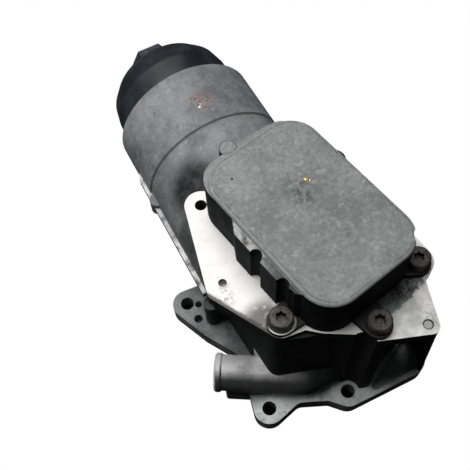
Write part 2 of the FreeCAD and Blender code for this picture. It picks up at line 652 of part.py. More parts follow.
    # Spigot: its own axis is the V axis of a sketch turned in plan
    section = new_sketch(body, "spigot_section", "XY_Plane", "spigot_x", "spigot_y",
                         "spigot_height", "spigot_turn - 90")
    add_polygon(section, [
        ("0", "0"), ("bead_radius - 1", "0"), ("bead_radius", "1"),
        ("bead_radius", "bead_length - 1"), ("spigot_radius", "bead_length"),
        ("spigot_radius", "spigot_length"), ("0", "spigot_length")])
    turn_solid(body, "spigot", section)
    plan = new_sketch(body, "foot_plan", "XY_Plane", "spigot_x", "spigot_y", "0", "spigot_turn")
    add_rounded_box(plan, "foot_start", "foot_end", "1 - spigot_radius", "spigot_radius - 1", "2")
    pad(body, "spigot_foot", plan, "spigot_height")
    joint_x = "spigot_x + spigot_length * cos(spigot_turn)"
    joint_y = "spigot_y + spigot_length * sin(spigot_turn)"
    section = new_sketch(body, "elbow_section", "XY_Plane", joint_x, joint_y, "spigot_height")
    add_polygon(section, [
        ("-spigot_radius", "0"), ("-spigot_radius * 0.92", "spigot_radius * 0.38"),
        ("-spigot_radius * 0.71", "spigot_radius * 0.71"),
        ("-spigot_radius * 0.38", "spigot_radius * 0.92"), ("0", "spigot_radius"),
        ("elbow_run", "spigot_radius"), ("elbow_run", "0")])
    turn_solid(body, "elbow", section, "H_Axis")

    # Cuts, from the bowl outwards
    section = new_sketch(body, "bore_section", "XY_Plane", lift="bowl_height")
    add_polygon(section, [
        ("0", "bowl_floor"), ("bore_radius - 3", "bowl_floor"),
        ("bore_radius", "bowl_floor + 3"), ("bore_radius", "bowl_rim - 1"),
        ("bore_radius + 1", "bowl_rim + 1"), ("0", "bowl_rim + 1")])
    turn_cut(body, "bowl_bore", section)
    section = new_sketch(body, "outlet_section", "XY_Plane", lift="bowl_height")
    add_polygon(section, [
        ("0", "bowl_floor + 1"), ("pipe_radius + press_gap", "bowl_floor + 1"),
        ("pipe_radius + press_gap", "bowl_floor - pipe_seat"),
        ("pipe_radius - pipe_wall", "bowl_floor - pipe_seat"),
        ("pipe_radius - pipe_wall - 2", "-8"), ("0", "-8")])
    turn_cut(body, "clean_oil_bore", section)

    section = new_sketch(body, "spigot_bore_section", "XY_Plane", "spigot_x", "spigot_y",
                         "spigot_height", "spigot_turn - 90")
    add_polygon(section, [("0", "-1"), ("spigot_bore", "-1"),
                          ("spigot_bore", "spigot_length"), ("0", "spigot_length")])
    turn_cut(body, "spigot_hole", section)
    section = new_sketch(body, "elbow_bore_section", "XY_Plane", joint_x, joint_y, "spigot_height")
    add_polygon(section, [
        ("-spigot_bore", "0"), ("-spigot_bore * 0.92", "spigot_bore * 0.38"),
        ("-spigot_bore * 0.71", "spigot_bore * 0.71"),
        ("-spigot_bore * 0.38", "spigot_bore * 0.92"), ("0", "spigot_bore"),
        ("elbow_run + 1", "spigot_bore"), ("elbow_run + 1", "0")])
    turn_cut(body, "elbow_hole", section, "H_Axis")

    for label, left, right, front, back, roof in chambers:
        plan = new_sketch(body, label + "_plan", "XY_Plane")
        add_rounded_box(plan, left, right, front, back, "chamber_corner")
        pocket(body, label, plan, roof, up=True)

    plan = new_sketch(body, "engine_holes_plan", "XY_Plane")
    for x, y in engine_eyes:
        add_circle(plan, x, y, "engine_hole_radius")
    pocket(body, "engine_holes", plan, "deck_height + 1", up=True)

    plan = new_sketch(body, "heel_recess_plan", "XY_Plane", lift="flange_thickness")
    rim = "heel_radius - heel_rim"
    add_belt(plan, [("bolt_b_x + recess_start", "heel_y - (%s) + heel_round" % rim, "heel_round", 1),
                    ("heel_x", "heel_y", rim, 1),
                    ("heel_x + (%s) - heel_round" % rim, "heel_y + recess_back", "heel_round", 1),
                    ("block_right - recess_side", "heel_y", "heel_round", 1)])
    pocket(body, "heel_recess", plan, "heel_depth")
    plan = new_sketch(body, "dowel_plan", "XY_Plane", lift="flange_thickness")
    add_circle(plan, "dowel_one_x", "dowel_one_y", "dowel_one_radius")
    add_circle(plan, "dowel_two_x", "dowel_two_y", "dowel_two_radius")
    pocket(body, "dowel_holes", plan, "dowel_depth")

    plan = new_sketch(body, "socket_room_plan", "XY_Plane", lift="flange_thickness")
    add_circle(plan, "eye_b_x", "eye_b_y", "socket_room")
    pocket(body, "socket_room", plan, "deck_height", up=True)

    plan = new_sketch(body, "cover_tap_plan", "XY_Plane", lift="deck_height")
    for x, y in cover_bolts:
        add_circle(plan, x, y, "bolt_radius + bolt_gap")
    pocket(body, "cover_taps", plan, "bolt_length - lug_height + tap_spare")
    plan = new_sketch(body, "ear_tap_plan", "XY_Plane", lift="deck_height")
    add_circle(plan, "ear_x", "ear_y", "tap_radius")
    pocket(body, "ear_tap", plan, "tap_depth")
    plan = new_sketch(body, "deck_small_plan", "XY_Plane", lift="deck_height")
    add_circle(plan, "blind_x", "blind_y", "blind_radius")
    pocket(body, "blind_hole", plan, "deck_thickness - 2")
    plan = new_sketch(body, "plug_plan", "XY_Plane", lift="deck_height")
    add_circle(plan, "plug_x", "plug_y", "plug_radius + press_gap")
    pocket(body, "plug_hole", plan, "plug_depth")

    plan = new_sketch(body, "port_plan", "XY_Plane", lift="deck_height")
    seats = new_sketch(body, "port_seat_plan", "XY_Plane", lift="deck_height")
    screws = new_sketch(body, "core_screw_plan", "XY_Plane", lift="deck_height")
    for name, across, along in cooler_ports:
        x, y = to_deck(across, along)
        add_circle(plan, x, y, "port_radius")
        add_circle(seats, x, y, "seal_seat_radius")
    for side, end in ((1, 1), (1, -1), (-1, 1), (-1, -1)):
        x, y = to_deck("screw_u * %d" % side, "screw_v * %d" % end)
        add_circle(screws, x, y, "screw_radius + bolt_gap")
    pocket(body, "cooler_ports", plan, "deck_height - chamber_top + 1")
    pocket(body, "port_seats", seats, "seal_seat_depth")
    pocket(body, "core_screw_holes", screws, "screw_depth + 1")

    plan = new_sketch(body, "face_seal_plan", "XY_Plane")
    half = "face_seal_width / 2 + seat_gap"
    add_rounded_box(plan, "face_seal_left - (%s)" % half, "face_seal_right + (%s)" % half,
                    "face_seal_front - (%s)" % half, "face_seal_back + (%s)" % half, "face_seal_corner")
    add_rounded_box(plan, "face_seal_left + (%s)" % half, "face_seal_right - (%s)" % half,
                    "face_seal_front + (%s)" % half, "face_seal_back - (%s)" % half,
                    "face_seal_corner - face_seal_width - 2 * seat_gap")
    pocket(body, "face_seal_groove", plan, "face_seal_depth + seat_gap", up=True)
    return body


def make_cover():
    """Cast cover of the cooler: pilasters, flutes, lugs and a hollow inside."""
    body = new_body("cooler_cover")
    half_w = "cover_width / 2"
    half_l = "cover_length / 2"
    plan = new_sketch(body, "cover_plan", "XY_Plane")
    add_rounded_box(plan, "-" + half_w, half_w, "-" + half_l, half_l, "cover_corner")
    block = pad(body, "cover_block", plan, "cover_height")
    doc.recompute()
    rim = [name for name, edge in named_edges(body.Shape) if edge.BoundBox.ZMin > number("cover_height") - 0.01]
    edge_round = body.newObject("PartDesign::Fillet", "cover_edge_round")
    edge_round.Base = (block, rim)
    tie(edge_round, "Radius", "cover_edge")

    # Raised front of the left wall: ramps at its ends, a sloping top and two round flutes
    start = "cover_height - cover_edge"
    wall = "over - " + half_w
    face = "-(%s)" % half_w
    front = "-(%s + pilaster_depth)" % half_w
    plan = new_sketch(body, "front_plan", "XY_Plane")
    add_polygon(plan, [
        (wall, "front_start + front_ramp"), (face, "front_start + front_ramp"), (front, "front_start"),
        (front, "front_end"), (face, "front_end - front_ramp"), (wall, "front_end - front_ramp")])
    pad(body, "left_front", plan, start)
    slope = new_sketch(body, "slope_profile", "XZ_Plane", lift="-(front_start + front_ramp + over)")
    add_polygon(slope, [
        (face, start), (face, "cover_height"), (front + " - over", "cover_height"),
        (front + " - over", start + " - front_drop"), (front, start + " - front_drop")])
    pocket(body, "left_slope", slope, "front_start - front_end + 2 * front_ramp + 2 * over", up=True)
    plan = new_sketch(body, "flute_plan", "XY_Plane")
    add_circle(plan, front + " - flute_out", "flute_v", "flute_radius")
    one = pocket(body, "flute", plan, "cover_height", up=True)
    row_pattern(body, "flutes", one, "Y_Axis", "pilaster_pitch", 2, backwards=True)

    # Raised front of the far wall with its own sloping top, and the ejector column
    plan = new_sketch(body, "far_plan", "XY_Plane")
    add_rounded_box(plan, "-" + half_w, half_w + " - far_end", "0", half_l + " + far_depth", "cover_corner")
    pad(body, "far_front", plan, start)
    slope = new_sketch(body, "far_slope_profile", "YZ_Plane", lift="-" + half_w + " - over")
    add_polygon(slope, [
        (half_l, start), (half_l + " + far_depth", start + " - front_drop"),
        (half_l + " + far_depth + over", start + " - front_drop"),
        (half_l + " + far_depth + over", "cover_height"), (half_l, "cover_height")])
    pocket(body, "far_slope", slope, "cover_width + 2 * over", up=True)
    plan = new_sketch(body, "ejector_plan", "XY_Plane")
    add_circle(plan, "ejector_u", half_l + " + far_depth + ejector_out", "ejector_radius")
    pad(body, "ejector_column", plan, start + " - front_drop")

    # On the XZ plane a sketch's own lift points along -Y
    profile = new_sketch(body, "right_pilaster_profile", "XZ_Plane", lift="-(pilaster_right)")
    foot = "%s + pilaster_depth" % half_w
    add_polygon(profile, [(half_w + " - over", "0"), (foot, "0"), (foot, "%s - pilaster_slope" % start),
                          (half_w, start), (half_w + " - over", start)])
    one = pad(body, "right_pilaster", profile, "pilaster_width", both=True)
    row_pattern(body, "right_pilasters", one, "Y_Axis", "pilaster_pitch", 2, backwards=True)

    for index, (x, y) in enumerate(cover_bolts):
        across, along = to_cooler(x, y)
        plan = new_sketch(body, "lug_plan_%d" % (index + 1), "XY_Plane")
        reach_u = "max(min(%s; %s - cover_corner); cover_corner - %s)" % (across, half_w, half_w)
        reach_v = "max(min(%s; %s - cover_corner); cover_corner - %s)" % (along, half_l, half_l)
        add_belt(plan, [(across, along, "lug_radius", 1), (reach_u, reach_v, "lug_root", 1)])
        pad(body, "lug_%d" % (index + 1), plan, "lug_height")

    plan = new_sketch(body, "hollow_plan", "XY_Plane")
    add_rounded_box(plan, "cover_wall - " + half_w, half_w + " - cover_wall", "cover_wall - " + half_l,
                    half_l + " - cover_wall", "cover_corner - cover_wall")
    pocket(body, "hollow", plan, "cover_height - cover_roof", up=True)
    plan = new_sketch(body, "lug_hole_plan", "XY_Plane")
    for x, y in cover_bolts:
        across, along = to_cooler(x, y)
        add_circle(plan, across, along, "bolt_radius + lug_gap")
    pocket(body, "lug_holes", plan, "lug_height + 1", up=True)
    heads = new_sketch(body, "head_room_plan", "XY_Plane", lift="lug_height")
    for x, y in cover_bolts:
        across, along = to_cooler(x, y)
        add_circle(heads, across, along, "bolt_head_radius + lug_gap")
    pocket(body, "head_room", heads, "cover_height", up=True)

    plan = new_sketch(body, "cover_groove_plan", "XY_Plane")
    middle = "cover_wall / 2"
    for reach, radius in (("cover_seal_width / 2 + seat_gap", "cover_corner - cover_wall / 2"),
                          ("-(cover_seal_width / 2 + seat_gap)", "cover_corner - cover_wall / 2")):
        inset = "(%s) - (%s)" % (middle, reach)
        add_rounded_box(plan, "(%s) - %s" % (inset, half_w), "%s - (%s)" % (half_w, inset),
                        "(%s) - %s" % (inset, half_l), "%s - (%s)" % (half_l, inset),
                        "%s + (%s)" % (radius, reach))
    pocket(body, "cover_groove", plan, "cover_seal_depth + seat_gap", up=True)
    move(body, "cooler_x", "cooler_y", "deck_height", "cooler_turn")
    return body


def named_edges(shape):
    """Edge names with their edges, as a fillet wants them."""
    return [("Edge%d" % (index + 1), edge) for index, edge in enumerate(shape.Edges)]


def make_cover_seal():
    body = new_body("cooler_cover_seal")
    plan = new_sketch(body, "cover_seal_plan", "XY_Plane")
    for reach in ("cover_seal_width / 2", "-cover_seal_width / 2"):
        inset = "cover_wall / 2 - (%s)" % reach
        add_rounded_box(plan, "(%s) - cover_width / 2" % inset, "cover_width / 2 - (%s)" % inset,
                        "(%s) - cover_length / 2" % inset, "cover_length / 2 - (%s)" % inset,
                        "cover_corner - cover_wall / 2 + (%s)" % reach)
    pad(body, "cover_seal_ring", plan, "cover_seal_depth")
    move(body, "cooler_x", "cooler_y", "deck_height", "cooler_turn")
    return body


def make_face_seal():
    body = new_body("engine_face_seal")
    plan = new_sketch(body, "engine_seal_plan", "XY_Plane")
    half = "face_seal_width / 2"
    add_rounded_box(plan, "face_seal_left - (%s)" % half, "face_seal_right + (%s)" % half,
                    "face_seal_front - (%s)" % half, "face_seal_back + (%s)" % half,
                    "face_seal_corner - seat_gap")
    add_rounded_box(plan, "face_seal_left + (%s)" % half, "face_seal_right - (%s)" % half,
                    "face_seal_front + (%s)" % half, "face_seal_back - (%s)" % half,
                    "face_seal_corner - face_seal_width - seat_gap")
    pad(body, "engine_seal_ring", plan, "face_seal_depth")
    return body


def make_core():
    """Brazed plate stack on its base plate."""
    body = new_body("cooler_core")
    half_w = "core_width / 2"
    half_l = "core_length / 2"
    plan = new_sketch(body, "core_base_plan", "XY_Plane")
    add_rounded_box(plan, "-" + half_w, half_w, "-" + half_l, half_l, "core_corner")
    pad(body, "core_base", plan, "core_plate")
    plan = new_sketch(body, "core_stack_plan", "XY_Plane")
    add_rounded_box(plan, "core_inset - " + half_w, half_w + " - core_inset", "core_inset - " + half_l,
                    half_l + " - core_inset", "core_corner")
    pad(body, "core_stack", plan, "core_height")
    plan = new_sketch(body, "core_groove_plan", "XY_Plane", lift="core_plate + fin_pitch")
    add_rounded_box(plan, "-" + half_w, half_w, "-" + half_l, half_l, "core_corner")
    add_rounded_box(plan, "core_inset + fin_depth - " + half_w, half_w + " - core_inset - fin_depth",
                    "core_inset + fin_depth - " + half_l, half_l + " - core_inset - fin_depth",
                    "core_corner - fin_depth")
    groove = pocket(body, "core_groove", plan, "fin_gap", up=True)
    steps = int((number("core_height") - number("core_plate")) / number("fin_pitch")) - 1
    row_pattern(body, "core_grooves", groove, "Z_Axis", "fin_pitch", steps)
    notch = new_sketch(body, "core_notch_plan", "XY_Plane", lift="core_plate")
    holes = new_sketch(body, "core_hole_plan", "XY_Plane")
    for side, end in ((1, 1), (1, -1), (-1, 1), (-1, -1)):
        add_circle(notch, "screw_u * %d" % side, "screw_v * %d" % end, "screw_head + lug_gap")
        add_circle(holes, "screw_u * %d" % side, "screw_v * %d" % end, "screw_radius + lug_gap")
    pocket(body, "core_notches", notch, "core_height", up=True)
    pocket(body, "core_holes", holes, "core_plate + 1", up=True)
    ports = new_sketch(body, "core_port_plan", "XY_Plane")
    for name, across, along in cooler_ports:
        add_circle(ports, across, along, "port_radius")
    pocket(body, "core_ports", ports, "core_height - core_plate", up=True)
    move(body, "cooler_x", "cooler_y", "deck_height", "cooler_turn")
    return body


def add_octagon(sketch, x, y, reach):
    """Eight-sided section of a ring seal round the point (x, y)."""
    corner = "(%s) / cos(22.5)" % reach
    add_polygon(sketch, [("(%s) + (%s) * cos(%s)" % (x, corner, turn), "(%s) + (%s) * sin(%s)" % (y, corner, turn))
                         for turn in (22.5, 67.5, 112.5, 157.5, 202.5, 247.5, 292.5, 337.5)])


def make_port_seals():
    """One ring seal in the seat round each cooler port."""
    seals = []
    for name, across, along in cooler_ports:
        label = "%s_port_seal" % name
        x, y = to_deck(across, along)
        seal = new_body(label)
        section = new_sketch(seal, label + "_section", "XZ_Plane")
        reach = "(seal_seat_depth - seat_gap) / 2"
        add_octagon(section, "seal_seat_radius - seat_gap - (%s)" % reach, "0", reach)
        turn_solid(seal, label + "_turn", section)
        move(seal, x, y, "deck_height - seal_seat_depth / 2")
        seals.append(seal)
    return seals


def head_cuts(label, radius, depth, level):
    """Six-lobe socket: a core hole with six round lobes, as one cutter at the origin."""
    core = doc.addObject("Part::Cylinder", label + "_core")
    tie(core, "Radius", "(%s) * 0.8" % radius)
    tie(core, "Height", "(%s) + 1" % depth)
    move(core, z="(%s) - (%s)" % (level, depth))
    lobes = [core]
    for index in range(6):
        lobe = doc.addObject("Part::Cylinder", "%s_lobe_%d" % (label, index + 1))
        tie(lobe, "Radius", "(%s) * 0.26" % radius)
        tie(lobe, "Height", "(%s) + 1" % depth)
        angle = 60 * index
        move(lobe, "(%s) * 0.76 * cos(%d)" % (radius, angle), "(%s) * 0.76 * sin(%d)" % (radius, angle),
             "(%s) - (%s)" % (level, depth))
        lobes.append(lobe)
    cutter = doc.addObject("Part::MultiFuse", label + "_socket")
    cutter.Shapes = lobes
    return cutter


def hexagon_cut(label, radius, depth, level):
    """Hexagon socket cutter at the origin."""
    prism = doc.addObject("Part::Prism", label + "_socket")
    prism.Polygon = 6
    tie(prism, "Circumradius", radius)
    tie(prism, "Height", "(%s) + 1" % depth)
    move(prism, z="(%s) - (%s)" % (level, depth))
    return prism


def make_screw(label, radius, length, head, head_height, socket, socket_depth, make_socket):
    """One cylinder-head screw standing on the origin, its head above z = 0."""
    shank = doc.addObject("Part::Cylinder", label + "_shank")
    tie(shank, "Radius", radius)
    tie(shank, "Height", "(%s) + 1" % length)
    move(shank, z="-(%s)" % length)
    cap = doc.addObject("Part::Cylinder", label + "_head")
    tie(cap, "Radius", head)
    tie(cap, "Height", head_height)
    whole = doc.addObject("Part::MultiFuse", label + "_blank")
    whole.Shapes = [shank, cap]
    doc.recompute()
    rim = [index + 1 for index, edge in enumerate(whole.Shape.Edges)
           if edge.BoundBox.ZMin > number(head_height) - 0.01]
    soft = doc.addObject("Part::Chamfer", label + "_chamfered")
    soft.Base = whole
    bevel = number(head) * 0.12
    soft.Edges = [(index, bevel, bevel) for index in rim]
    cut = doc.addObject("Part::Cut", label + "_screw")
    cut.Base = soft
    cut.Tool = make_socket(label, socket, socket_depth, head_height)
    return cut


def make_bolt_group(label, screw, places):
    """Identical fasteners in one node: separate solids, each a copy of the same screw."""
    doc.recompute()
    copies = []
    for x, y, z in places:
        single = screw.Shape.copy()
        single.translate(FreeCAD.Vector(number(x), number(y), number(z)))
        copies.append(single)
    group = doc.addObject("Part::Feature", label)
    group.Shape = Part.makeCompound(copies)
    group.Label = label
    return group


def make_cap():
    """Moulded screw cap: dome, hexagon, threaded skirt and seal groove."""
    body = new_body("filter_cap")
    skirt = "bore_radius - thread_gap"
    flange = "bowl_rim + cap_lift_gap"
    groove_top = "bowl_rim - cap_seal_offset"
    section = new_sketch(body, "cap_section", "XY_Plane")
    add_polygon(section, [
        ("0", "cap_end - cap_wall"), ("cap_radius - 25", "cap_end - cap_wall"),
        ("cap_radius - 12", "cap_end - 12"), ("cap_radius - 7", "cap_shoulder"),
        ("cap_radius - 7", "bowl_rim - skirt_length"), (skirt, "bowl_rim - skirt_length"),
        (skirt, groove_top + " - seal_width"), (skirt + " - seal_groove", groove_top + " - seal_width"),
        (skirt + " - seal_groove", groove_top), (skirt, groove_top),
        (skirt, flange), ("cap_radius", flange), ("cap_radius", "cap_shoulder"),
        ("cap_radius - 1.9", "cap_shoulder + 9.6"), ("cap_radius - 7.3", "cap_shoulder + 17.7"),
        ("cap_radius - 15.4", "cap_shoulder + 23.1"), ("cap_radius - 25", "cap_end"), ("0", "cap_end")])
    turn_solid(body, "cap_shell", section)

    # Hexagon on the end face, which the XZ plane sees along the bowl axis
    hexagon = new_sketch(body, "hexagon_plan", "XZ_Plane", lift="-(cap_end - 1)")
    corner = "cap_hex / 2 / cos(30)"
    add_polygon(hexagon, [("(%s) * cos(%d)" % (corner, turn), "(%s) * sin(%d)" % (corner, turn))
                          for turn in range(0, 360, 60)])
    pad(body, "hexagon", hexagon, "cap_hex_end - cap_end + 1", down=True)
    move(body, z="bowl_height")
    return body


def make_cap_seal():
    """Ring seal in the groove of the cap's skirt."""
    seal = new_body("cap_seal")
    section = new_sketch(seal, "cap_seal_section", "XY_Plane")
    reach = "(seal_groove + thread_gap - 2 * seal_gap) / 2"
    add_octagon(section, "bore_radius - seal_gap - (%s)" % reach,
                "bowl_rim - cap_seal_offset - seal_width / 2", reach)
    turn_solid(seal, "cap_seal_turn", section)
    move(seal, z="bowl_height")
    return seal


def make_media():
    """Pleated paper: a star outline between tips and roots, drawn along the bowl axis."""
    body = new_body("filter_paper")
    outline = new_sketch(body, "pleat_outline", "XZ_Plane", lift="-(media_start)")
    count = int(number("pleats"))
    step = 360 / (2 * count)
    corners = []
    for index in range(2 * count):
        reach = "media_radius" if index % 2 == 0 else "media_valley + tube_wall"
        angle = step * index
        corners.append(("(%s) * cos(%s)" % (reach, angle), "(%s) * sin(%s)" % (reach, angle)))
    spots = [FreeCAD.Vector(number(x), number(y), 0) for x, y in corners]
    for index in range(2 * count):
        outline.addGeometry(Part.LineSegment(spots[index], spots[(index + 1) % (2 * count)]))
    for index in range(2 * count):
        outline.addConstraint(Sketcher.Constraint("Coincident", index, 2, (index + 1) % (2 * count), 1))
    add_circle(outline, "0", "0", "media_valley")
    pad(body, "pleats_pad", outline, "media_end - media_start", down=True)
    move(body, z="bowl_height")
    return body


def make_support_tube():
    """Perforated tube that keeps the paper from collapsing."""
    body = new_body("support_tube")
    section = new_sketch(body, "support_section", "XY_Plane")
    add_polygon(section, [
        ("tube_radius - tube_wall", "media_start"), ("tube_radius", "media_start"),
        ("tube_radius", "media_end"), ("tube_radius - tube_wall", "media_end")])
    turn_solid(body, "support_turn", section)
    slot = new_sketch(body, "window_plan", "XY_Plane", lift="tube_radius + 1")
    add_rounded_box(slot, "-4", "4", "media_start + 8", "media_start + 8 + tube_window", "2")
    one = pocket(body, "window", slot, "tube_wall + 6")
    turn_pattern(body, "window_ring", one, 6)
    move(body, z="bowl_height")
    return body


def make_standpipe():
    """Fixed centre pipe with slots, held in the bowl floor."""
    body = new_body("standpipe")
    section = new_sketch(body, "pipe_section", "XY_Plane")
    add_polygon(section, [
        ("pipe_radius - pipe_wall", "bowl_floor - pipe_seat"), ("pipe_radius", "bowl_floor - pipe_seat"),
        ("pipe_radius", "media_end - cartridge_gap"),
        ("pipe_radius - pipe_wall", "media_end - cartridge_gap")])
    turn_solid(body, "pipe_turn", section)
    slot = new_sketch(body, "pipe_slot_plan", "XY_Plane", lift="pipe_radius + 1")
    add_rounded_box(slot, "-3", "3", "media_start + 14", "media_start + 54", "2.5")
    one = pocket(body, "pipe_slot", slot, "pipe_wall + 4")
    turn_pattern(body, "pipe_slots", one, 4)
    move(body, z="bowl_height")
    return body


def make_spring(label, mean, wire, turns, length):
    """Compression spring along +Z with a six-sided wire, whose centre starts level with the origin."""
    pitch = (length - 2 * wire) / turns
    helix = Part.makeHelix(pitch, length - 2 * wire, mean)
    corners = []
    for turn in range(0, 420, 60):
        angle = math.radians(turn)
        corners.append(FreeCAD.Vector(mean + wire * math.cos(angle), 0, wire * math.sin(angle)))
    section = Part.makePolygon(corners)
    spring = doc.addObject("Part::Feature", label)
    spring.Shape = Part.Wire(helix.Edges).makePipeShell([section], True, True)
    spring.Label = label
    return spring


def make_bypass():
    """Bypass valve in the cap end of the standpipe: seat, disc, spring and cup."""
    bore = "pipe_radius - pipe_wall"
    seat_low = "media_end - cartridge_gap - valve_ring"
    disc_top = seat_low + " - valve_face_gap"
    disc_low = disc_top + " - valve_disc"
    spring_top = disc_low + " - spring_gap"
    spring_low = spring_top + " - spring_length"
    pieces = [ring_body("bypass_seat", "valve_hole", bore + " - press_gap", seat_low, "media_end - cartridge_gap")]
    disc = new_body("bypass_disc")
    section = new_sketch(disc, "bypass_disc_section", "XY_Plane")
    add_polygon(section, [("0", disc_low), ("valve_disc_radius", disc_low), ("valve_disc_radius", disc_top),
                          ("valve_hole - 1", disc_top), ("valve_hole - 2", disc_top + " + 1"),
                          ("0", disc_top + " + 1")])
    turn_solid(disc, "bypass_disc_turn", section)
    move(disc, z="bowl_height")
    spring = make_spring("bypass_spring", number("spring_radius"), number("spring_wire"),
                         int(number("spring_turns")), number("spring_length"))
    spring.Placement = FreeCAD.Placement(FreeCAD.Vector(0, number(spring_low + " + spring_wire"), number("bowl_height")),
                                         FreeCAD.Rotation(FreeCAD.Vector(1, 0, 0), -90))
    cup_top = spring_low + " - spring_gap"
    cup = ring_body("bypass_spring_cup", "spring_radius - 3", bore + " - press_gap",
                    cup_top + " - 2.4", cup_top)
    pieces += [disc, spring, cup]
    return pieces


def valve_plate(label, level, thickness, holes):
    """Flat plate that fills the oil inlet chamber, with round holes (x, y, radius) from its middle."""
    body = new_body(label)
    half_x = "(inlet_right - inlet_left) / 2 - press_gap"
    half_y = "(inlet_back - inlet_front) / 2 - press_gap"
    plan = new_sketch(body, label + "_plan", "XY_Plane")
    add_rounded_box(plan, "-(%s)" % half_x, half_x, "-(%s)" % half_y, half_y, "chamber_corner - press_gap")
    pad(body, label + "_plate", plan, thickness)
    plan = new_sketch(body, label + "_hole_plan", "XY_Plane")
    for x, y, radius in holes:
        add_circle(plan, x, y, radius)
    pocket(body, label + "_holes", plan, thickness + " + 1", up=True)
    move(body, "(inlet_left + inlet_right) / 2", "(inlet_front + inlet_back) / 2", level)
    return body


def make_check_valve():
    """Check valve in the oil inlet chamber: seat plate, disc, spring and cage plate above."""
    disc_low = "check_height + valve_ring + valve_face_gap"
    spring_low = disc_low + " + valve_disc + spring_gap"
    cage_low = spring_low + " + check_spring_length + spring_gap"
    seat = valve_plate("check_valve_seat", "check_height", "valve_ring", [("0", "0", "check_hole")])
    cage = valve_plate("check_valve_cage", cage_low, "valve_disc",
                       [("-9", "0", "check_hole"), ("9", "0", "check_hole"), ("0", "0", "check_hole / 2")])
    disc = doc.addObject("Part::Cylinder", "check_valve_disc")
    disc.Label = "check_valve_disc"
    tie(disc, "Radius", "check_radius")
    tie(disc, "Height", "valve_disc")
    move(disc, "(inlet_left + inlet_right) / 2", "(inlet_front + inlet_back) / 2", disc_low)
    spring = make_spring("check_valve_spring", number("check_spring_radius"), number("check_spring_wire"),
                         int(number("spring_turns")), number("check_spring_length"))
    middle = FreeCAD.Vector(number("(inlet_left + inlet_right) / 2"), number("(inlet_front + inlet_back) / 2"),
                            number(spring_low + " + check_spring_wire"))
    spring.Placement = FreeCAD.Placement(middle, FreeCAD.Rotation())
    return [seat, disc, spring, cage]


def make_end_discs():
    """End discs of the cartridge: a plain one below, one with a windowed neck under the cap."""
    lower = ring_body("lower_end_disc", "pipe_radius + cartridge_gap + 1.4", "disc_radius",
                      "media_start - disc_thickness", "media_start")
    upper = new_body("upper_end_disc")
    disc_top = "media_end + disc_thickness"
    neck_top = "cap_end - cap_wall - spring_gap"
    section = new_sketch(upper, "upper_disc_section", "XY_Plane")
    add_polygon(section, [
        ("valve_hole", "media_end"), ("disc_radius", "media_end"), ("disc_radius", disc_top),
        ("neck_radius", disc_top), ("neck_radius", neck_top),
        ("neck_radius - neck_wall", neck_top), ("neck_radius - neck_wall", disc_top), ("valve_hole", disc_top)])
    turn_solid(upper, "upper_disc_turn", section)
    slot = new_sketch(upper, "neck_window_plan", "XY_Plane", lift="neck_radius + 1")
    add_rounded_box(slot, "-neck_window / 2", "neck_window / 2", disc_top + " + 5", neck_top + " - 5", "2")
    one = pocket(upper, "neck_slot", slot, "neck_wall + 5")
    turn_pattern(upper, "neck_slots", one, 4)
    move(upper, z="bowl_height")
    return [lower, upper]


housing = make_housing()
cover = make_cover()
parts = [housing, cover, make_cover_seal(), make_face_seal(), make_core()]
parts += make_port_seals()

cover_screw = make_screw("cover_bolt", "bolt_radius", "bolt_length", "bolt_head_radius", "bolt_head_height",
                         "bolt_socket_radius", "bolt_socket_depth", head_cuts)
parts.append(make_bolt_group("cover_bolts", cover_screw,
                             [(x, y, "deck_height + lug_height") for x, y in cover_bolts]))
core_screw = make_screw("core_fixing", "screw_radius", "screw_depth + core_plate", "screw_head",
                        "screw_head_height", "screw_radius * 0.8", "screw_head_height * 0.5", hexagon_cut)
places = []
for side, end in ((1, 1), (1, -1), (-1, 1), (-1, -1)):
    spot_x, spot_y = to_deck("screw_u * %d" % side, "screw_v * %d" % end)
    places.append((spot_x, spot_y, "deck_height + core_plate"))
parts.append(make_bolt_group("cooler_core_screws", core_screw, places))

plug = doc.addObject("Part::Cylinder", "gallery_plug")
plug.Label = "gallery_plug"
tie(plug, "Radius", "plug_radius")
tie(plug, "Height", "plug_depth - plug_sunk")
move(plug, "plug_x", "plug_y", "deck_height - plug_depth")
parts.append(plug)

parts += [make_cap(), make_cap_seal(), make_media(), make_support_tube(), make_standpipe()]
parts += make_end_discs()
parts.append(ring_body("cartridge_seal", "pipe_radius + cartridge_gap", "pipe_radius + cartridge_gap + 1.4",
                       "media_start - disc_thickness - 1", "media_start + 2"))
parts += make_bypass()
parts += make_check_valve()

doc.recompute()
broken = [item.Label for item in doc.Objects if "Invalid" in item.State or "Error" in item.State]
if broken:
    raise RuntimeError("these did not build: %s" % ", ".join(broken))
for item in parts:
    if item.Shape.isNull() or not item.Shape.isValid():
        raise RuntimeError("%s is not a valid solid" % item.Label)
    item.Shape.exportStep("parts/%s.step" % item.Label)
    print("%-22s solids %2d  volume %9.1f mm3" % (item.Label, len(item.Shape.Solids), item.Shape.Volume))
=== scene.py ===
# %% [markdown]
# # Oil filter housing: materials, small pieces, studio and camera
# The frame holds the CAD pieces in metres. This script gives each of them a procedural material,
# adds the dirt and the drops that lie on them, lights them softly and places the camera where the
# photograph was taken. Each cell prints what it made, so that it can be followed one by one.

# %%
import bmesh
import bpy
import json
import math
from mathutils import Matrix, Vector


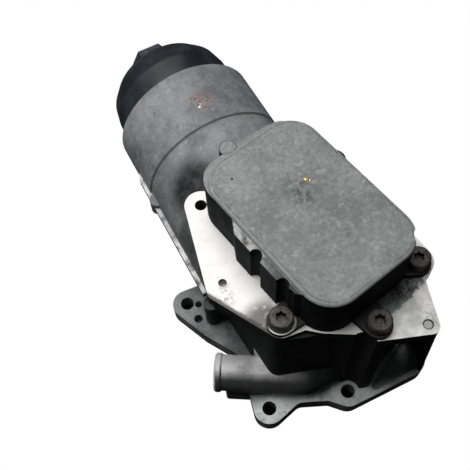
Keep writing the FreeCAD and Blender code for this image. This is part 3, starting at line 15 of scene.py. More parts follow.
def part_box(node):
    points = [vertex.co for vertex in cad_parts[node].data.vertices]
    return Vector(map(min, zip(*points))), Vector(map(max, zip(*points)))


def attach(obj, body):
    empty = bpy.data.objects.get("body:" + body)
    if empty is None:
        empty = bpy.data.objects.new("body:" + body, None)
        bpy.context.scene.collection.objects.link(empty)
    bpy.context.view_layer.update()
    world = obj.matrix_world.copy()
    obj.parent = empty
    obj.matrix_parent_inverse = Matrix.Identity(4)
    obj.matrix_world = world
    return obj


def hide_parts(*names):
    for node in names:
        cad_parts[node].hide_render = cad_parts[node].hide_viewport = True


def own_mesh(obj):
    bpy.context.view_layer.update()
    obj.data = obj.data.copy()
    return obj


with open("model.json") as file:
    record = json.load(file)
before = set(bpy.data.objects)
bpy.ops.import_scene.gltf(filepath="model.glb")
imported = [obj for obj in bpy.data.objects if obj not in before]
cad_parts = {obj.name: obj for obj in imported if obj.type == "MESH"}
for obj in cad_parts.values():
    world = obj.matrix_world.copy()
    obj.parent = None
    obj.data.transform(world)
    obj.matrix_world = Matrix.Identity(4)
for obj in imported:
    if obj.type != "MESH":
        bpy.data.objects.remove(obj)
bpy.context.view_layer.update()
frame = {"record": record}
MM = 0.001
MM_PER_M = 1000
nodes = {item.name: item for item in bpy.data.objects if item.type == "MESH"}

# %% [markdown]
# ## Shader maths with plain operators
# A small wrapper lets a material be written as arithmetic on sockets.

# %%
class Sock:
    """A shader socket, or a plain number, that understands + - * / and a few named functions."""

    def __init__(self, tree, value):
        self.tree = tree
        self.value = value

    def plug(self, socket):
        if isinstance(self.value, bpy.types.NodeSocket):
            self.tree.links.new(self.value, socket)
        else:
            socket.default_value = self.value

    def maths(self, operation, *others):
        node = self.tree.nodes.new("ShaderNodeMath")
        node.operation = operation
        for socket, item in zip(node.inputs, (self,) + others):
            wrap(self.tree, item).plug(socket)
        return Sock(self.tree, node.outputs[0])

    def __add__(self, other):
        return self.maths("ADD", other)

    def __radd__(self, other):
        return self.maths("ADD", other)

    def __sub__(self, other):
        return self.maths("SUBTRACT", other)

    def __rsub__(self, other):
        return wrap(self.tree, other).maths("SUBTRACT", self)

    def __mul__(self, other):
        return self.maths("MULTIPLY", other)

    def __rmul__(self, other):
        return self.maths("MULTIPLY", other)

    def __truediv__(self, other):
        return self.maths("DIVIDE", other)

    def __pow__(self, other):
        return self.maths("POWER", other)

    def least(self, other):
        return self.maths("MINIMUM", other)

    def most(self, other):
        return self.maths("MAXIMUM", other)

    def near(self, centre, width):
        """1 at centre, falling smoothly to 0 at width away from it."""
        return 1 - (self - centre).maths("ABSOLUTE").step(0, width)

    def step(self, low, high):
        """Smooth ramp from 0 at low to 1 at high."""
        node = self.tree.nodes.new("ShaderNodeMapRange")
        node.interpolation_type = "SMOOTHSTEP"
        self.plug(node.inputs["Value"])
        node.inputs["From Min"].default_value = low
        node.inputs["From Max"].default_value = high
        return Sock(self.tree, node.outputs["Result"])


def wrap(tree, item):
    return item if isinstance(item, Sock) else Sock(tree, item)


class Paint:
    """A Principled material under construction, with its Object coordinates at hand."""

    def __init__(self, name, metallic=0.0, roughness=0.5, shine=0.5):
        self.material = bpy.data.materials.new(name)
        self.material.use_nodes = True
        self.tree = self.material.node_tree
        self.shader = self.tree.nodes["Principled BSDF"]
        self.shader.inputs["Metallic"].default_value = metallic
        self.shader.inputs["Roughness"].default_value = roughness
        self.shader.inputs["Specular IOR Level"].default_value = shine
        place = self.tree.nodes.new("ShaderNodeTexCoord")
        self.place = place.outputs["Object"]
        split = self.tree.nodes.new("ShaderNodeSeparateXYZ")
        self.tree.links.new(self.place, split.inputs[0])
        self.x, self.y, self.z = (Sock(self.tree, split.outputs[index]) * MM_PER_M for index in range(3))
        face = self.tree.nodes.new("ShaderNodeNewGeometry")
        tilt = self.tree.nodes.new("ShaderNodeSeparateXYZ")
        self.tree.links.new(face.outputs["Normal"], tilt.inputs[0])
        self.nx, self.ny, self.nz = (Sock(self.tree, tilt.outputs[index]) for index in range(3))

    def noise(self, size_mm, detail=4.0, roughness=0.6, stretch=(1, 1, 1)):
        """Noise with features of about size_mm, optionally stretched along an axis."""
        scale = self.tree.nodes.new("ShaderNodeMapping")
        scale.inputs["Scale"].default_value = tuple(MM_PER_M / size_mm / amount for amount in stretch)
        self.tree.links.new(self.place, scale.inputs["Vector"])
        node = self.tree.nodes.new("ShaderNodeTexNoise")
        node.inputs["Scale"].default_value = 1.0
        node.inputs["Detail"].default_value = detail
        node.inputs["Roughness"].default_value = roughness
        self.tree.links.new(scale.outputs[0], node.inputs["Vector"])
        return Sock(self.tree, node.outputs[0])

    def spot(self, x, y, z, inner, outer, stretch=(1, 1, 1)):
        """1 within inner mm of a point, fading to 0 at outer mm."""
        far = ((self.x - x) / stretch[0]) ** 2 + ((self.y - y) / stretch[1]) ** 2
        far = far + ((self.z - z) / stretch[2]) ** 2
        return 1 - (far ** 0.5).step(inner, outer)

    def blend(self, factor, low, high):
        """Colour mix: low where factor is 0, high where it is 1."""
        node = self.tree.nodes.new("ShaderNodeMix")
        node.data_type = "RGBA"
        wrap(self.tree, factor).plug(node.inputs["Factor"])
        ends = [socket for socket in node.inputs if socket.type == "RGBA"]
        for socket, colour in zip(ends, (low, high)):
            if isinstance(colour, Sock):
                colour.plug(socket)
            else:
                socket.default_value = (colour[0], colour[1], colour[2], 1)
        out = [socket for socket in node.outputs if socket.type == "RGBA"]
        return Sock(self.tree, out[0])

    def finish(self, colour, roughness, height, depth_mm):
        """Plug colour, roughness and a height of depth_mm into the shader."""
        colour.plug(self.shader.inputs["Base Color"])
        roughness.plug(self.shader.inputs["Roughness"])
        bump = self.tree.nodes.new("ShaderNodeBump")
        bump.inputs["Strength"].default_value = 1.0
        bump.inputs["Distance"].default_value = depth_mm * MM
        height.plug(bump.inputs["Height"])
        self.tree.links.new(bump.outputs[0], self.shader.inputs["Normal"])
        return self.material


def dress(node, material):
    """Give a CAD node its material."""
    item = nodes[node]
    for slot in item.material_slots:
        slot.material = material
    if not item.material_slots:
        item.data.materials.append(material)


# %% [markdown]
# ## The cooler's own frame
# The cooler cover stands turned on the deck. Its masks are easier to write in a frame whose u axis
# runs across the cover and whose v axis runs along it. A rounded rectangle's distance field then
# gives every line that follows the cover's edge.

# %%
deck_level = 95.0
cooler_middle = (9.3, 0.0)
cooler_turn = math.radians(10.6)
cover_half = (34.1, 51.45)
cover_corner = 17.5
cover_top = 128.4


def cooler_axes(paint):
    """Sockets for u and v of the cooler's frame, in mm."""
    across = paint.x - cooler_middle[0]
    along = paint.y - cooler_middle[1]
    u = across * math.cos(cooler_turn) + along * math.sin(cooler_turn)
    v = along * math.cos(cooler_turn) - across * math.sin(cooler_turn)
    return u, v


def cooler_place(u, v):
    """The object's x and y, in mm, of a point in the cooler's frame."""
    x = cooler_middle[0] + u * math.cos(cooler_turn) - v * math.sin(cooler_turn)
    y = cooler_middle[1] + u * math.sin(cooler_turn) + v * math.cos(cooler_turn)
    return x, y


def outside_cover(paint):
    """Distance from the cover's outline in mm: below 0 inside it, above 0 outside."""
    u, v = cooler_axes(paint)
    du = (u.maths("ABSOLUTE") - (cover_half[0] - cover_corner)).most(0)
    dv = (v.maths("ABSOLUTE") - (cover_half[1] - cover_corner)).most(0)
    return (du * du + dv * dv) ** 0.5 - cover_corner


print("cover's far left corner:", [round(value, 1) for value in cooler_place(-cover_half[0], cover_half[1])])

# %% [markdown]
# ## Cast alloy with a machined deck
# The same casting shows four finishes: the clean skin of the bowl, the walls below the deck painted
# near black for oil and for the shade under the deck, the dull flange with its front painted lighter as
# light, and the milled deck, whose near white is partly painted reflection. Each has its own tone, and
# masks made from place and slope choose between them. The order of the layers is the order of the blends.

# %%
cast = Paint("cast_alloy", metallic=0.08, roughness=0.55, shine=0.18)
broad = cast.noise(38, detail=5)
medium = cast.noise(9, detail=5)
grain = cast.noise(1.6, detail=3)
cloudy = (broad * 0.5 + medium * 0.35 + grain * 0.15).step(0.34, 0.66)
bowl_tone = cast.blend(cloudy, (0.155, 0.16, 0.165), (0.345, 0.35, 0.355))
body_tone = cast.blend(cloudy, (0.05, 0.052, 0.053), (0.16, 0.165, 0.165))
flange_tone = cast.blend(cloudy, (0.09, 0.095, 0.097), (0.3, 0.31, 0.31))
# Painted light: the flange's front is painted much lighter, standing in for the light on it.
lit_front_flange = (1 - cast.y.step(-52, -36)) * (1 - cast.x.step(-30, 30) * 0.25)
flange_painted_light = cast.blend(cloudy, (0.45, 0.46, 0.46), (0.95, 0.96, 0.95))
flange_tone = cast.blend(lit_front_flange, flange_tone, flange_painted_light)
# Near black, used for oil and for painted shade.
black_oil_and_shade = (0.012, 0.013, 0.013)

on_bowl = cast.y.step(52, 58)
skin = cast.blend(on_bowl, body_tone, bowl_tone)
flange_level = 12.0
on_flange = (1 - cast.z.step(flange_level + 0.4, flange_level + 1.2)) * cast.nz.step(0.7, 0.9)
skin = cast.blend(on_flange, skin, flange_tone)
print("finishes: bowl, body, flange")

# %% [markdown]
# The spigot is a tube of its own direction. Measured along and across that direction, it gets a light
# tone of its own, partly painted light for its lit top, with painted shade in near black on its lower
# front side, and the darker layers return where it runs into the elbow.

# %%
spigot_mouth = (-62.1, -20.8)
spigot_turn = math.radians(-31.5)
from_x = cast.x - spigot_mouth[0]
from_y = cast.y - spigot_mouth[1]
along = from_x * math.cos(spigot_turn) + from_y * math.sin(spigot_turn)
aside = from_y * math.cos(spigot_turn) - from_x * math.sin(spigot_turn)
on_spigot = (1 - aside.maths("ABSOLUTE").step(11.9, 12.6)) * (1 - along.step(40, 62))
on_spigot = on_spigot * (1 - cast.z.step(33.8, 34.4)) * cast.z.step(12.4, 13.5)
# The spigot's light tone is partly painted light for its lit top.
spigot_tone_and_light = cast.blend(cloudy, (0.42, 0.42, 0.42), (0.85, 0.85, 0.84))
# Painted shade: the spigot's lower front side is painted near black.
shaded_side = 1 - cast.ny.step(-0.62, -0.1)
spigot_tone_and_light = cast.blend(shaded_side * 0.93, spigot_tone_and_light, black_oil_and_shade)
skin = cast.blend(on_spigot, skin, spigot_tone_and_light)

web_level = 50.2
# Painted highlight: a bright broken line along the parting web's top.
web_top_highlight = cast.z.near(web_level, 0.5) * cast.nz.step(0.8, 0.95) * cast.y.step(14, 18)
web_top_highlight = web_top_highlight * (1 - cast.x.step(-46, -44))
skin = cast.blend(web_top_highlight * cast.noise(7, detail=3).step(0.3, 0.55), skin, (0.8, 0.8, 0.79))

# The walls below the deck are painted near black, for oil and for the shade under the deck.
walls = (1 - cast.nz.maths("ABSOLUTE").step(0.25, 0.6)) * (1 - cast.y.step(6, 20)) * (1 - on_spigot)
below_deck = 1 - cast.z.step(deck_level - 0.2, deck_level)
oil_and_shade = walls * below_deck * (0.75 + 0.25 * cast.noise(11, detail=5).step(0.35, 0.6))
skin = cast.blend(oil_and_shade.least(1), skin, black_oil_and_shade)
flange_side = (1 - cast.z.step(11.6, 12.1)) * (1 - cast.nz.maths("ABSOLUTE").step(0.3, 0.6))
skin = cast.blend(flange_side * 0.9, skin, cast.blend(cloudy, (0.04, 0.04, 0.04), (0.3, 0.3, 0.3)))
# Painted shade: the hollow under the deck is painted near black.
hollow = (1 - cast.y.step(-8, 14)) * cast.z.step(12.6, 14) * below_deck * (1 - on_spigot)
skin = cast.blend(hollow * 0.8, skin, black_oil_and_shade)
print("layers so far: spigot, parting web, oily walls, flange side, hollow")

# %% [markdown]
# Grime gathers where oil ran, in patches over the bowl. The bowl is painted darker towards its lower
# side as shade, and a soft dark pool in the hollow between the bowl and the cover is painted shade and
# grime together.

# %%
patches = (cast.noise(15, detail=6, roughness=0.72) + cast.noise(3, detail=3) * 0.25).step(0.66, 0.86)
skin = cast.blend(patches * 0.45, skin, (0.05, 0.05, 0.048))
ragged = cast.noise(6, detail=5).step(0.3, 0.6)
# Painted shade: the bowl is painted darker towards its lower side.
low_bowl_shade = on_bowl * (1 - cast.z.step(44, 72)) * (1 - cast.y.step(60, 110))
skin = cast.blend(low_bowl_shade * 0.5, skin, (0.06, 0.062, 0.065))
smudge_place = (-45, 116, 66)
smudge = cast.spot(*smudge_place, 1, 9, stretch=(1, 1, 1.4)) * ragged
skin = cast.blend(smudge * 0.75, skin, (0.05, 0.05, 0.05))
blush_place = (1, 112, 93)
blush = cast.spot(*blush_place, 3, 11) * cast.noise(2.4, detail=4).step(0.42, 0.56)
skin = cast.blend(blush * 0.6, skin, (0.34, 0.19, 0.17))
scab = cast.spot(*blush_place, 3, 11) * cast.noise(1.7, detail=4).step(0.54, 0.62)
skin = cast.blend(scab * 0.7, skin, (0.05, 0.03, 0.03))
specks = cast.noise(2.1, detail=3).step(0.6, 0.72)
specks = specks + cast.noise(5.5, detail=5, roughness=0.7).step(0.6, 0.72) * 0.7
skin = cast.blend(specks.least(1) * 0.45, skin, (0.06, 0.06, 0.06))
pale = cast.noise(3.2, detail=4, roughness=0.65).step(0.58, 0.7)
skin = cast.blend(pale * on_bowl * 0.22, skin, (0.62, 0.63, 0.64))
# The pool is painted shade and grime together, in the hollow where the bowl runs under the cover.
shade_pool_place = (-24, 66, 80)
shade_and_grime_pool = cast.spot(*shade_pool_place, 9, 27, stretch=(1.05, 0.85, 1)) * (0.8 + 0.2 * ragged)
skin = cast.blend(shade_and_grime_pool * 0.94, skin, (0.008, 0.008, 0.009))
band_y = 94.3
# Painted light: the step groove is painted lighter, lifting its shade.
groove_painted_light = cast.y.near(band_y, 1.6) * cast.nz.step(-0.4, 0.2)
skin = cast.blend(groove_painted_light * 0.4, skin, (0.3, 0.29, 0.28))
print("layers so far: patches, smudge, blush, scab, specks, pool, step line")

# %% [markdown]
# The milled deck is found by its level and by facing straight up. Face milling leaves arcs: rings
# about points outside the deck, a cutter's feed apart, both in tone and in height.

# %%
deck_back = 58.0
on_deck = cast.z.step(deck_level - 0.3, deck_level - 0.2) * cast.nz.step(0.9, 0.97)
on_deck = on_deck * (1 - cast.y.step(deck_back - 1, deck_back))
cutter_middle = (-90.0, 60.0)
feed_mm = 0.9
reach_from = ((cast.x - cutter_middle[0]) ** 2 + (cast.y - cutter_middle[1]) ** 2) ** 0.5
arcs = (reach_from * (2 * math.pi / feed_mm)).maths("SINE") * 0.5 + 0.5
smear = (cast.noise(13, detail=5, roughness=0.68) * 0.8 + grain * 0.2).step(0.47, 0.74)
# The milled tone is near white, partly the metal's own colour and partly painted reflection.
milled = cast.blend(smear * 0.35, (0.97, 0.96, 0.94), (0.55, 0.53, 0.5))
milled = cast.blend(arcs * 0.05, milled, (0.5, 0.5, 0.5))

edge_wobble = cast.noise(5, detail=6, roughness=0.7) * 9
bolt_soot_place = (-34, -31, deck_level)
bolt_left = cast.spot(*bolt_soot_place, 5, 15) * cast.noise(4, detail=5, roughness=0.7).step(0.24, 0.48)
milled = cast.blend(bolt_left * 0.9, milled, (0.12, 0.115, 0.11))
corner_place = (-45, -9, deck_level)
corner_soot = cast.spot(*corner_place, 1, 9) * cast.noise(3, detail=5).step(0.45, 0.62)
milled = cast.blend(corner_soot * 0.7, milled, (0.16, 0.14, 0.13))

# Distance from the deck's straight edge between its left corner and the left bolt
edge_normal = (0.878, 0.478)
edge_offset = 49.66
edge = cast.x * edge_normal[0] + cast.y * edge_normal[1] + edge_offset
edge_grime = 1 - (edge + cast.noise(3, detail=5, roughness=0.7) * 3).step(2.6, 4.4)
milled = cast.blend(edge_grime * 0.9, milled, (0.05, 0.048, 0.045))

gap = outside_cover(cast)
right_side = cast.x.step(18, 24) * (1 - cast.y.step(-40, -30))
# A near-black band on the deck beside the cover's right side, with a ragged edge.
black_edge = (1 - (gap - edge_wobble * 1.2).step(3.2, 5.0)) * right_side
milled = cast.blend(black_edge * 0.97, milled, (0.01, 0.01, 0.01))
grey_side = right_side * cast.noise(8, detail=5).step(0.3, 0.62)
milled = cast.blend(grey_side * 0.55, milled, (0.36, 0.37, 0.37))
plug_stain_place = (40, -71, deck_level)
plug_stain = cast.spot(*plug_stain_place, 2, 7) * cast.noise(2.5, detail=4).step(0.42, 0.58)
milled = cast.blend(plug_stain * 0.5, milled, (0.2, 0.19, 0.18))
colour = cast.blend(on_deck, skin, milled)
drilled_place = (-43.1, -2.1, 86)
drilled = cast.spot(*drilled_place, 2.2, 2.6, stretch=(1, 1, 9)) * (1 - cast.z.step(94, 94.6))
colour = cast.blend(drilled * 0.9, colour, (0.9, 0.9, 0.89))

engine_face = (1 - cast.z.step(0.05, 0.2)) * (1 - cast.nz.step(-0.97, -0.9))
face_tone = cast.blend(arcs * 0.3, (0.62, 0.61, 0.6), (0.46, 0.45, 0.44))
colour = cast.blend(engine_face, colour, face_tone)
smooth = on_deck.most(engine_face)
roughness = 0.6 - smooth * 0.15 + (medium - 0.5) * 0.2 + walls * below_deck * 0.25
height = (grain + cast.noise(0.7, detail=1) * 0.3) * (1 - smooth) + arcs * smooth * 0.12
dress("housing", cast.finish(colour, roughness, height=height, depth_mm=0.1))
print("cast alloy nodes:", len(cast.tree.nodes))

# %% [markdown]
# ## Cover
# The top is evenly sandy. Just inside its edge runs a thin dark line, where the skin of oil ends,
# and its rounded rim gets a painted highlight. The walls below are painted black, for oil and for
# shade, and the raised front's sloping band is painted lit.

# %%
cover = Paint("cover_alloy", metallic=0.08, roughness=0.6, shine=0.18)
broad = cover.noise(30, detail=5)
sand = cover.noise(2.2, detail=4)
fine = cover.noise(0.9, detail=2)
sandy = (broad * 0.45 + sand * 0.35 + fine * 0.2).step(0.36, 0.66)
top_tone = cover.blend(sandy, (0.178, 0.183, 0.184), (0.34, 0.344, 0.34))
gap = outside_cover(cover)
high = cover.z.step(cover_top - 3, cover_top - 1)
line = gap.near(-2.1, 0.45) * high * cover.noise(6, detail=3).step(0.36, 0.5)
skin = cover.blend(line * 0.6, top_tone, (0.05, 0.05, 0.05))
# Painted highlight: a lighter band along the rounded rim of the top.
rim_highlight = gap.step(-1.6, -1.0) * high
skin = cover.blend(rim_highlight * 0.5, skin, (0.36, 0.37, 0.36))
specks = cover.noise(2.4, detail=3).step(0.6, 0.74)
specks = specks + cover.noise(7, detail=5, roughness=0.7).step(0.58, 0.72) * 0.7
skin = cover.blend(specks.least(1) * 0.32, skin, (0.09, 0.09, 0.09))
pale = cover.noise(4.4, detail=4, roughness=0.65).step(0.56, 0.7)
skin = cover.blend(pale * 0.3, skin, (0.5, 0.5, 0.5))
column_place = (-7.8, 56.75)
column_x, column_y = cooler_place(*column_place)
column_far = ((cover.x - column_x) ** 2 + (cover.y - column_y) ** 2) ** 0.5
skin = cover.blend(column_far.near(4.7, 0.6) * 0.7, skin, (0.04, 0.04, 0.04))
stain_place = (10, 9, cover_top)
stain = cover.spot(*stain_place, 1, 11, stretch=(1, 1.4, 1)) * cover.noise(4, detail=4).step(0.42, 0.6)
skin = cover.blend(stain * 0.75, skin, (0.045, 0.043, 0.04))
second_place = (18, -22, cover_top)
second = cover.spot(*second_place, 0.5, 4) * cover.noise(2, detail=4).step(0.4, 0.55)
skin = cover.blend(second * 0.5, skin, (0.08, 0.08, 0.08))
pit_place = (-20, 37.6)
pit_x, pit_y = cooler_place(*pit_place)
pit = cover.spot(pit_x, pit_y, cover_top, 0.5, 1.0)
skin = cover.blend(pit * 0.9, skin, (0.02, 0.02, 0.02))
print("cover's top: line, lip, specks, column ring, stains, pit")

# %% [markdown]
# The walls come next, painted near black for oil and for shade. The cooler's own axes pick out the
# near walls, painted darker still as shade, the band on the left, painted lit, and the bright crescent
# on the lug of the left bolt.

# %%
steep = 1 - cover.nz.step(0.15, 0.35)
below_edge = 1 - cover.z.step(cover_top - 2.5, cover_top - 1)
wall_cloud = cover.noise(9, detail=5).step(0.4, 0.62)
# The walls are painted near black, for oil and for shade.
wall_oil_and_shade = cover.blend(wall_cloud, (0.007, 0.008, 0.009), (0.022, 0.024, 0.026))
skin = cover.blend(steep * below_edge, skin, wall_oil_and_shade)
u, v = cooler_axes(cover)
# Painted shade: the front and right walls are darker still.
front_wall_shade = steep * (1 - v.step(-34, -20)).most(u.step(20, 26))
skin = cover.blend(front_wall_shade * 0.8, skin, (0.002, 0.002, 0.002))
# Painted light: the sloping band on the left wall is painted light in places and dark elsewhere.
left_band = (1 - u.step(-34.6, -34.2)) * cover.nz.step(0.3, 0.5) * cover.z.step(117, 119)
lit = v.step(-24, 6) * cover.noise(5, detail=4).step(0.3, 0.6)
band_tone = cover.blend(lit, (0.07, 0.072, 0.075), (0.55, 0.55, 0.54))
below_lip = 1 - cover.z.step(cover_top - 1.4, cover_top - 0.6)
skin = cover.blend(left_band * below_lip, skin, band_tone)
# The lugs' tops are painted near black, partly as shade and partly as dirt.
lugs = (1 - cover.z.step(deck_level + 6, deck_level + 9)) * cover.nz.step(0.8, 0.95)
skin = cover.blend(lugs * 0.9, skin, (0.02, 0.02, 0.02))
left_bolt = (-27.5, -36.6)
from_bolt = ((cover.x - left_bolt[0]) ** 2 + (cover.y - left_bolt[1]) ** 2) ** 0.5
crescent = lugs * from_bolt.step(6.6, 6.9) * (1 - from_bolt.step(7.6, 8.2)) * (1 - cover.y.step(-40, -35))
skin = cover.blend(crescent, skin, (0.95, 0.94, 0.92))
roughness = 0.58 + (sand - 0.5) * 0.25 + steep * 0.3
dress("cooler_cover", cover.finish(skin, roughness, height=sand + fine * 0.5, depth_mm=0.08))
print("cover nodes:", len(cover.tree.nodes))

# %% [markdown]
# ## Cap, bolts and the hidden pieces

# %%
cap = Paint("cap_plastic", metallic=0.0, roughness=0.42)
patch = cap.noise(12, detail=4)
skin = cap.blend(patch.step(0.4, 0.65), (0.009, 0.012, 0.016), (0.024, 0.031, 0.039))
# Lighter patches on the cap past 184 mm along y.
lighter_patches = cap.y.step(181, 184) * cap.noise(4, detail=4).step(0.4, 0.62)
skin = cap.blend(lighter_patches * 0.5, skin, (0.075, 0.08, 0.085))
dress("filter_cap", cap.finish(skin, 0.4 + patch * 0.2, height=cap.noise(0.8, detail=2), depth_mm=0.06))
print("cap nodes:", len(cap.tree.nodes))

# %%
bolt = Paint("bolt_steel", metallic=0.5, roughness=0.45)
rub = bolt.noise(3, detail=4)
oil_and_sheen = bolt.noise(1.2, detail=5, roughness=0.7)
skin = bolt.blend(rub.step(0.36, 0.62), (0.02, 0.018, 0.017), (0.085, 0.078, 0.072))
# Painted sheen: upward faces are lighter in oily spots.
skin = bolt.blend(bolt.nz.step(0.4, 0.8) * oil_and_sheen.step(0.5, 0.7) * 0.5, skin, (0.17, 0.16, 0.15))
steel = bolt.finish(skin, 0.4 + rub * 0.25, height=rub + oil_and_sheen * 0.5, depth_mm=0.12)
for node in ("cover_bolts", "cooler_core_screws"):
    dress(node, steel)

plug = Paint("plug_metal", metallic=0.3, roughness=0.45)
plug_middle = (37.8, -72.9)
off_axis = ((plug.x - plug_middle[0]) ** 2 + (plug.y - plug_middle[1]) ** 2) ** 0.5
skin = plug.blend(off_axis.step(1.9, 2.4), (0.42, 0.42, 0.41), (0.015, 0.015, 0.015))
worn = 0.45 + plug.noise(1, detail=3) * 0.2
dress("gallery_plug", plug.finish(skin, worn, height=plug.noise(1.5), depth_mm=0.05))
print("bolt nodes:", len(bolt.tree.nodes), "plug nodes:", len(plug.tree.nodes))

# %%
plain = {
    "seal_rubber": ((0.012, 0.012, 0.012), (0.03, 0.03, 0.03), 0.0, 0.6),
    "spring_steel": ((0.25, 0.25, 0.25), (0.45, 0.45, 0.44), 0.9, 0.35),
    "inner_plastic": ((0.03, 0.03, 0.032), (0.07, 0.07, 0.072), 0.0, 0.5),
    "paper": ((0.55, 0.42, 0.2), (0.72, 0.6, 0.36), 0.0, 0.85),
    "cooler_steel": ((0.36, 0.35, 0.33), (0.6, 0.59, 0.56), 0.9, 0.35)}
made = {}
for name, (dark, light, metal, rough) in plain.items():
    paint = Paint(name, metallic=metal, roughness=rough)
    cloud = paint.noise(4, detail=4)
    made[name] = paint.finish(paint.blend(cloud.step(0.35, 0.65), dark, light), rough + (cloud - 0.5) * 0.2,
                              height=cloud, depth_mm=0.05)
for row in frame["record"]["subparts"]:
    if row["material_slot"] in made:
        dress(row["node"], made[row["material_slot"]])
print("materials:", len(bpy.data.materials))

# %% [markdown]
# ## Dirt crumbs with Geometry Nodes
# Oil binds dust into crumbs at the foot of the cover and round the bolts. A node tree scatters them
# over a flat patch: noise decides where they clump, a random value their size, and the seed is
# fixed, so that every run gives the same crumbs. The tree is built here and read as a recipe:
# points on the patch, a small ball at each point, real geometry at the end.

# %%
def feed(tree, node, plugs):
    """Fill a node's inputs: a socket is linked, a plain value is set."""
    for name, item in plugs.items():
        if isinstance(item, bpy.types.NodeSocket):
            tree.links.new(item, node.inputs[name])
        else:
            node.inputs[name].default_value = item
    return node


def arithmetic(tree, operation, first, second):
    """Result of one sum on sockets or plain numbers."""
    node = tree.nodes.new("ShaderNodeMath")
    node.operation = operation
    return feed(tree, node, {0: first, 1: second}).outputs[0]


def named_inputs(tree):
    return [item for item in tree.interface.items_tree if item.in_out == "INPUT"]


def run_recipe(tree, blank, name, material, inputs):
    """Run a node tree over a blank object and keep what it makes as a smooth plain mesh."""
    modifier = blank.modifiers.new("recipe", "NODES")
    modifier.node_group = tree
    for item in named_inputs(tree):
        if item.name in inputs:
            modifier[item.identifier] = inputs[item.name]
    graph = bpy.context.evaluated_depsgraph_get()
    solid = bpy.data.meshes.new_from_object(blank.evaluated_get(graph))
    bpy.data.objects.remove(blank)
    solid.name = name
    solid.materials.clear()
    solid.materials.append(material)
    for face in solid.polygons:
        face.use_smooth = True
    return solid


# %%
def crumb_tree():
    tree = bpy.data.node_groups.new("scatter_crumbs", "GeometryNodeTree")
    face = tree.interface
    face.new_socket("Geometry", in_out="INPUT", socket_type="NodeSocketGeometry")
    for name, kind, amount in (("Density", "NodeSocketFloat", 1e6), ("Largest", "NodeSocketFloat", 0.0006),
                               ("Clumps", "NodeSocketFloat", 120.0), ("Seed", "NodeSocketInt", 1)):
        face.new_socket(name, in_out="INPUT", socket_type=kind).default_value = amount
    face.new_socket("Geometry", in_out="OUTPUT", socket_type="NodeSocketGeometry")
    start = tree.nodes.new("NodeGroupInput")
    end = tree.nodes.new("NodeGroupOutput")
    clump = feed(tree, tree.nodes.new("ShaderNodeTexNoise"), {"Scale": start.outputs["Clumps"]})
    bare, crowded = 0.48, 0.66
    amount = feed(tree, tree.nodes.new("ShaderNodeMapRange"),
                  {"Value": clump.outputs[0], "From Min": bare, "From Max": crowded})
    dense = arithmetic(tree, "MULTIPLY", amount.outputs["Result"], start.outputs["Density"])
    points = feed(tree, tree.nodes.new("GeometryNodeDistributePointsOnFaces"),
                  {"Mesh": start.outputs["Geometry"], "Density": dense, "Seed": start.outputs["Seed"]})
    ball = feed(tree, tree.nodes.new("GeometryNodeMeshIcoSphere"), {"Radius": 1.0, "Subdivisions": 2})
    size = tree.nodes.new("FunctionNodeRandomValue")
    size.data_type = "FLOAT_VECTOR"
    smallest, largest = (0.25, 0.25, 0.2), (1.0, 1.0, 0.6)
    feed(tree, size, {"Min": smallest, "Max": largest, "Seed": start.outputs["Seed"]})
    scaled = tree.nodes.new("ShaderNodeVectorMath")
    scaled.operation = "SCALE"
    feed(tree, scaled, {0: size.outputs["Value"], "Scale": start.outputs["Largest"]})
    place = feed(tree, tree.nodes.new("GeometryNodeInstanceOnPoints"),
                 {"Points": points.outputs["Points"], "Instance": ball.outputs["Mesh"],
                  "Scale": scaled.outputs[0]})
    real = feed(tree, tree.nodes.new("GeometryNodeRealizeInstances"), {0: place.outputs[0]})
    tree.links.new(real.outputs[0], end.inputs[0])
    return tree


scatter = crumb_tree()
print("scatter_crumbs inputs:", [item.name for item in named_inputs(scatter)])


# %%
def grow(name, corners, material, body, slot, **inputs):
    """Run the scatter tree over a flat patch given by its corners and keep the result as plain mesh."""
    mesh = bpy.data.meshes.new(name + "_patch")
    mesh.from_pydata(corners, [], [tuple(range(len(corners)))])
    patch = bpy.data.objects.new(name + "_patch", mesh)
    bpy.context.collection.objects.link(patch)
    solid = run_recipe(scatter, patch, name, material, inputs)
    piece = bpy.data.objects.new(name, solid)
    bpy.context.collection.objects.link(piece)
    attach(piece, body)
    print(name, "faces:", len(solid.polygons))
    return piece


crumb = Paint("crumb_dirt", metallic=0.0, roughness=0.8)
speck = crumb.noise(0.8, detail=3)
crumb_tone = crumb.blend(speck.step(0.35, 0.65), (0.006, 0.006, 0.006), (0.03, 0.028, 0.026))
crumb_finish = crumb.finish(crumb_tone, 0.7 + speck * 0.2, height=speck, depth_mm=0.1)


def deck_patch(low_u, high_u, low_v, high_v, lift=0.02):
    """Corners in metres of a strip of the deck, given in the cooler's frame."""
    corners = ((low_u, low_v), (high_u, low_v), (high_u, high_v), (low_u, high_v))
    spots = [cooler_place(u, v) for u, v in corners]
    return [(x * MM, y * MM, (deck_level + lift) * MM) for x, y in spots]


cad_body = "housing_body"
grow("crumbs_left_foot", deck_patch(-39.0, -38.1, -26, 8), crumb_finish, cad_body, "cast_alloy",
     Density=6e6, Largest=0.00035, Clumps=160.0, Seed=4)
grow("crumbs_front_foot", deck_patch(14, 27, -58, -52.5), crumb_finish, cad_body, "cast_alloy",
     Density=5e6, Largest=0.0005, Clumps=220.0, Seed=9)

# %% [markdown]
# ## Valve springs with Geometry Nodes
# A compression spring follows one rule: a wire goes round an axis while its height grows, slowly in
# the first and the last turn, whose coils touch, and evenly between them. The tree writes that rule
# over the curve's own parameter, so the number of turns, radius, wire and length stay named inputs.

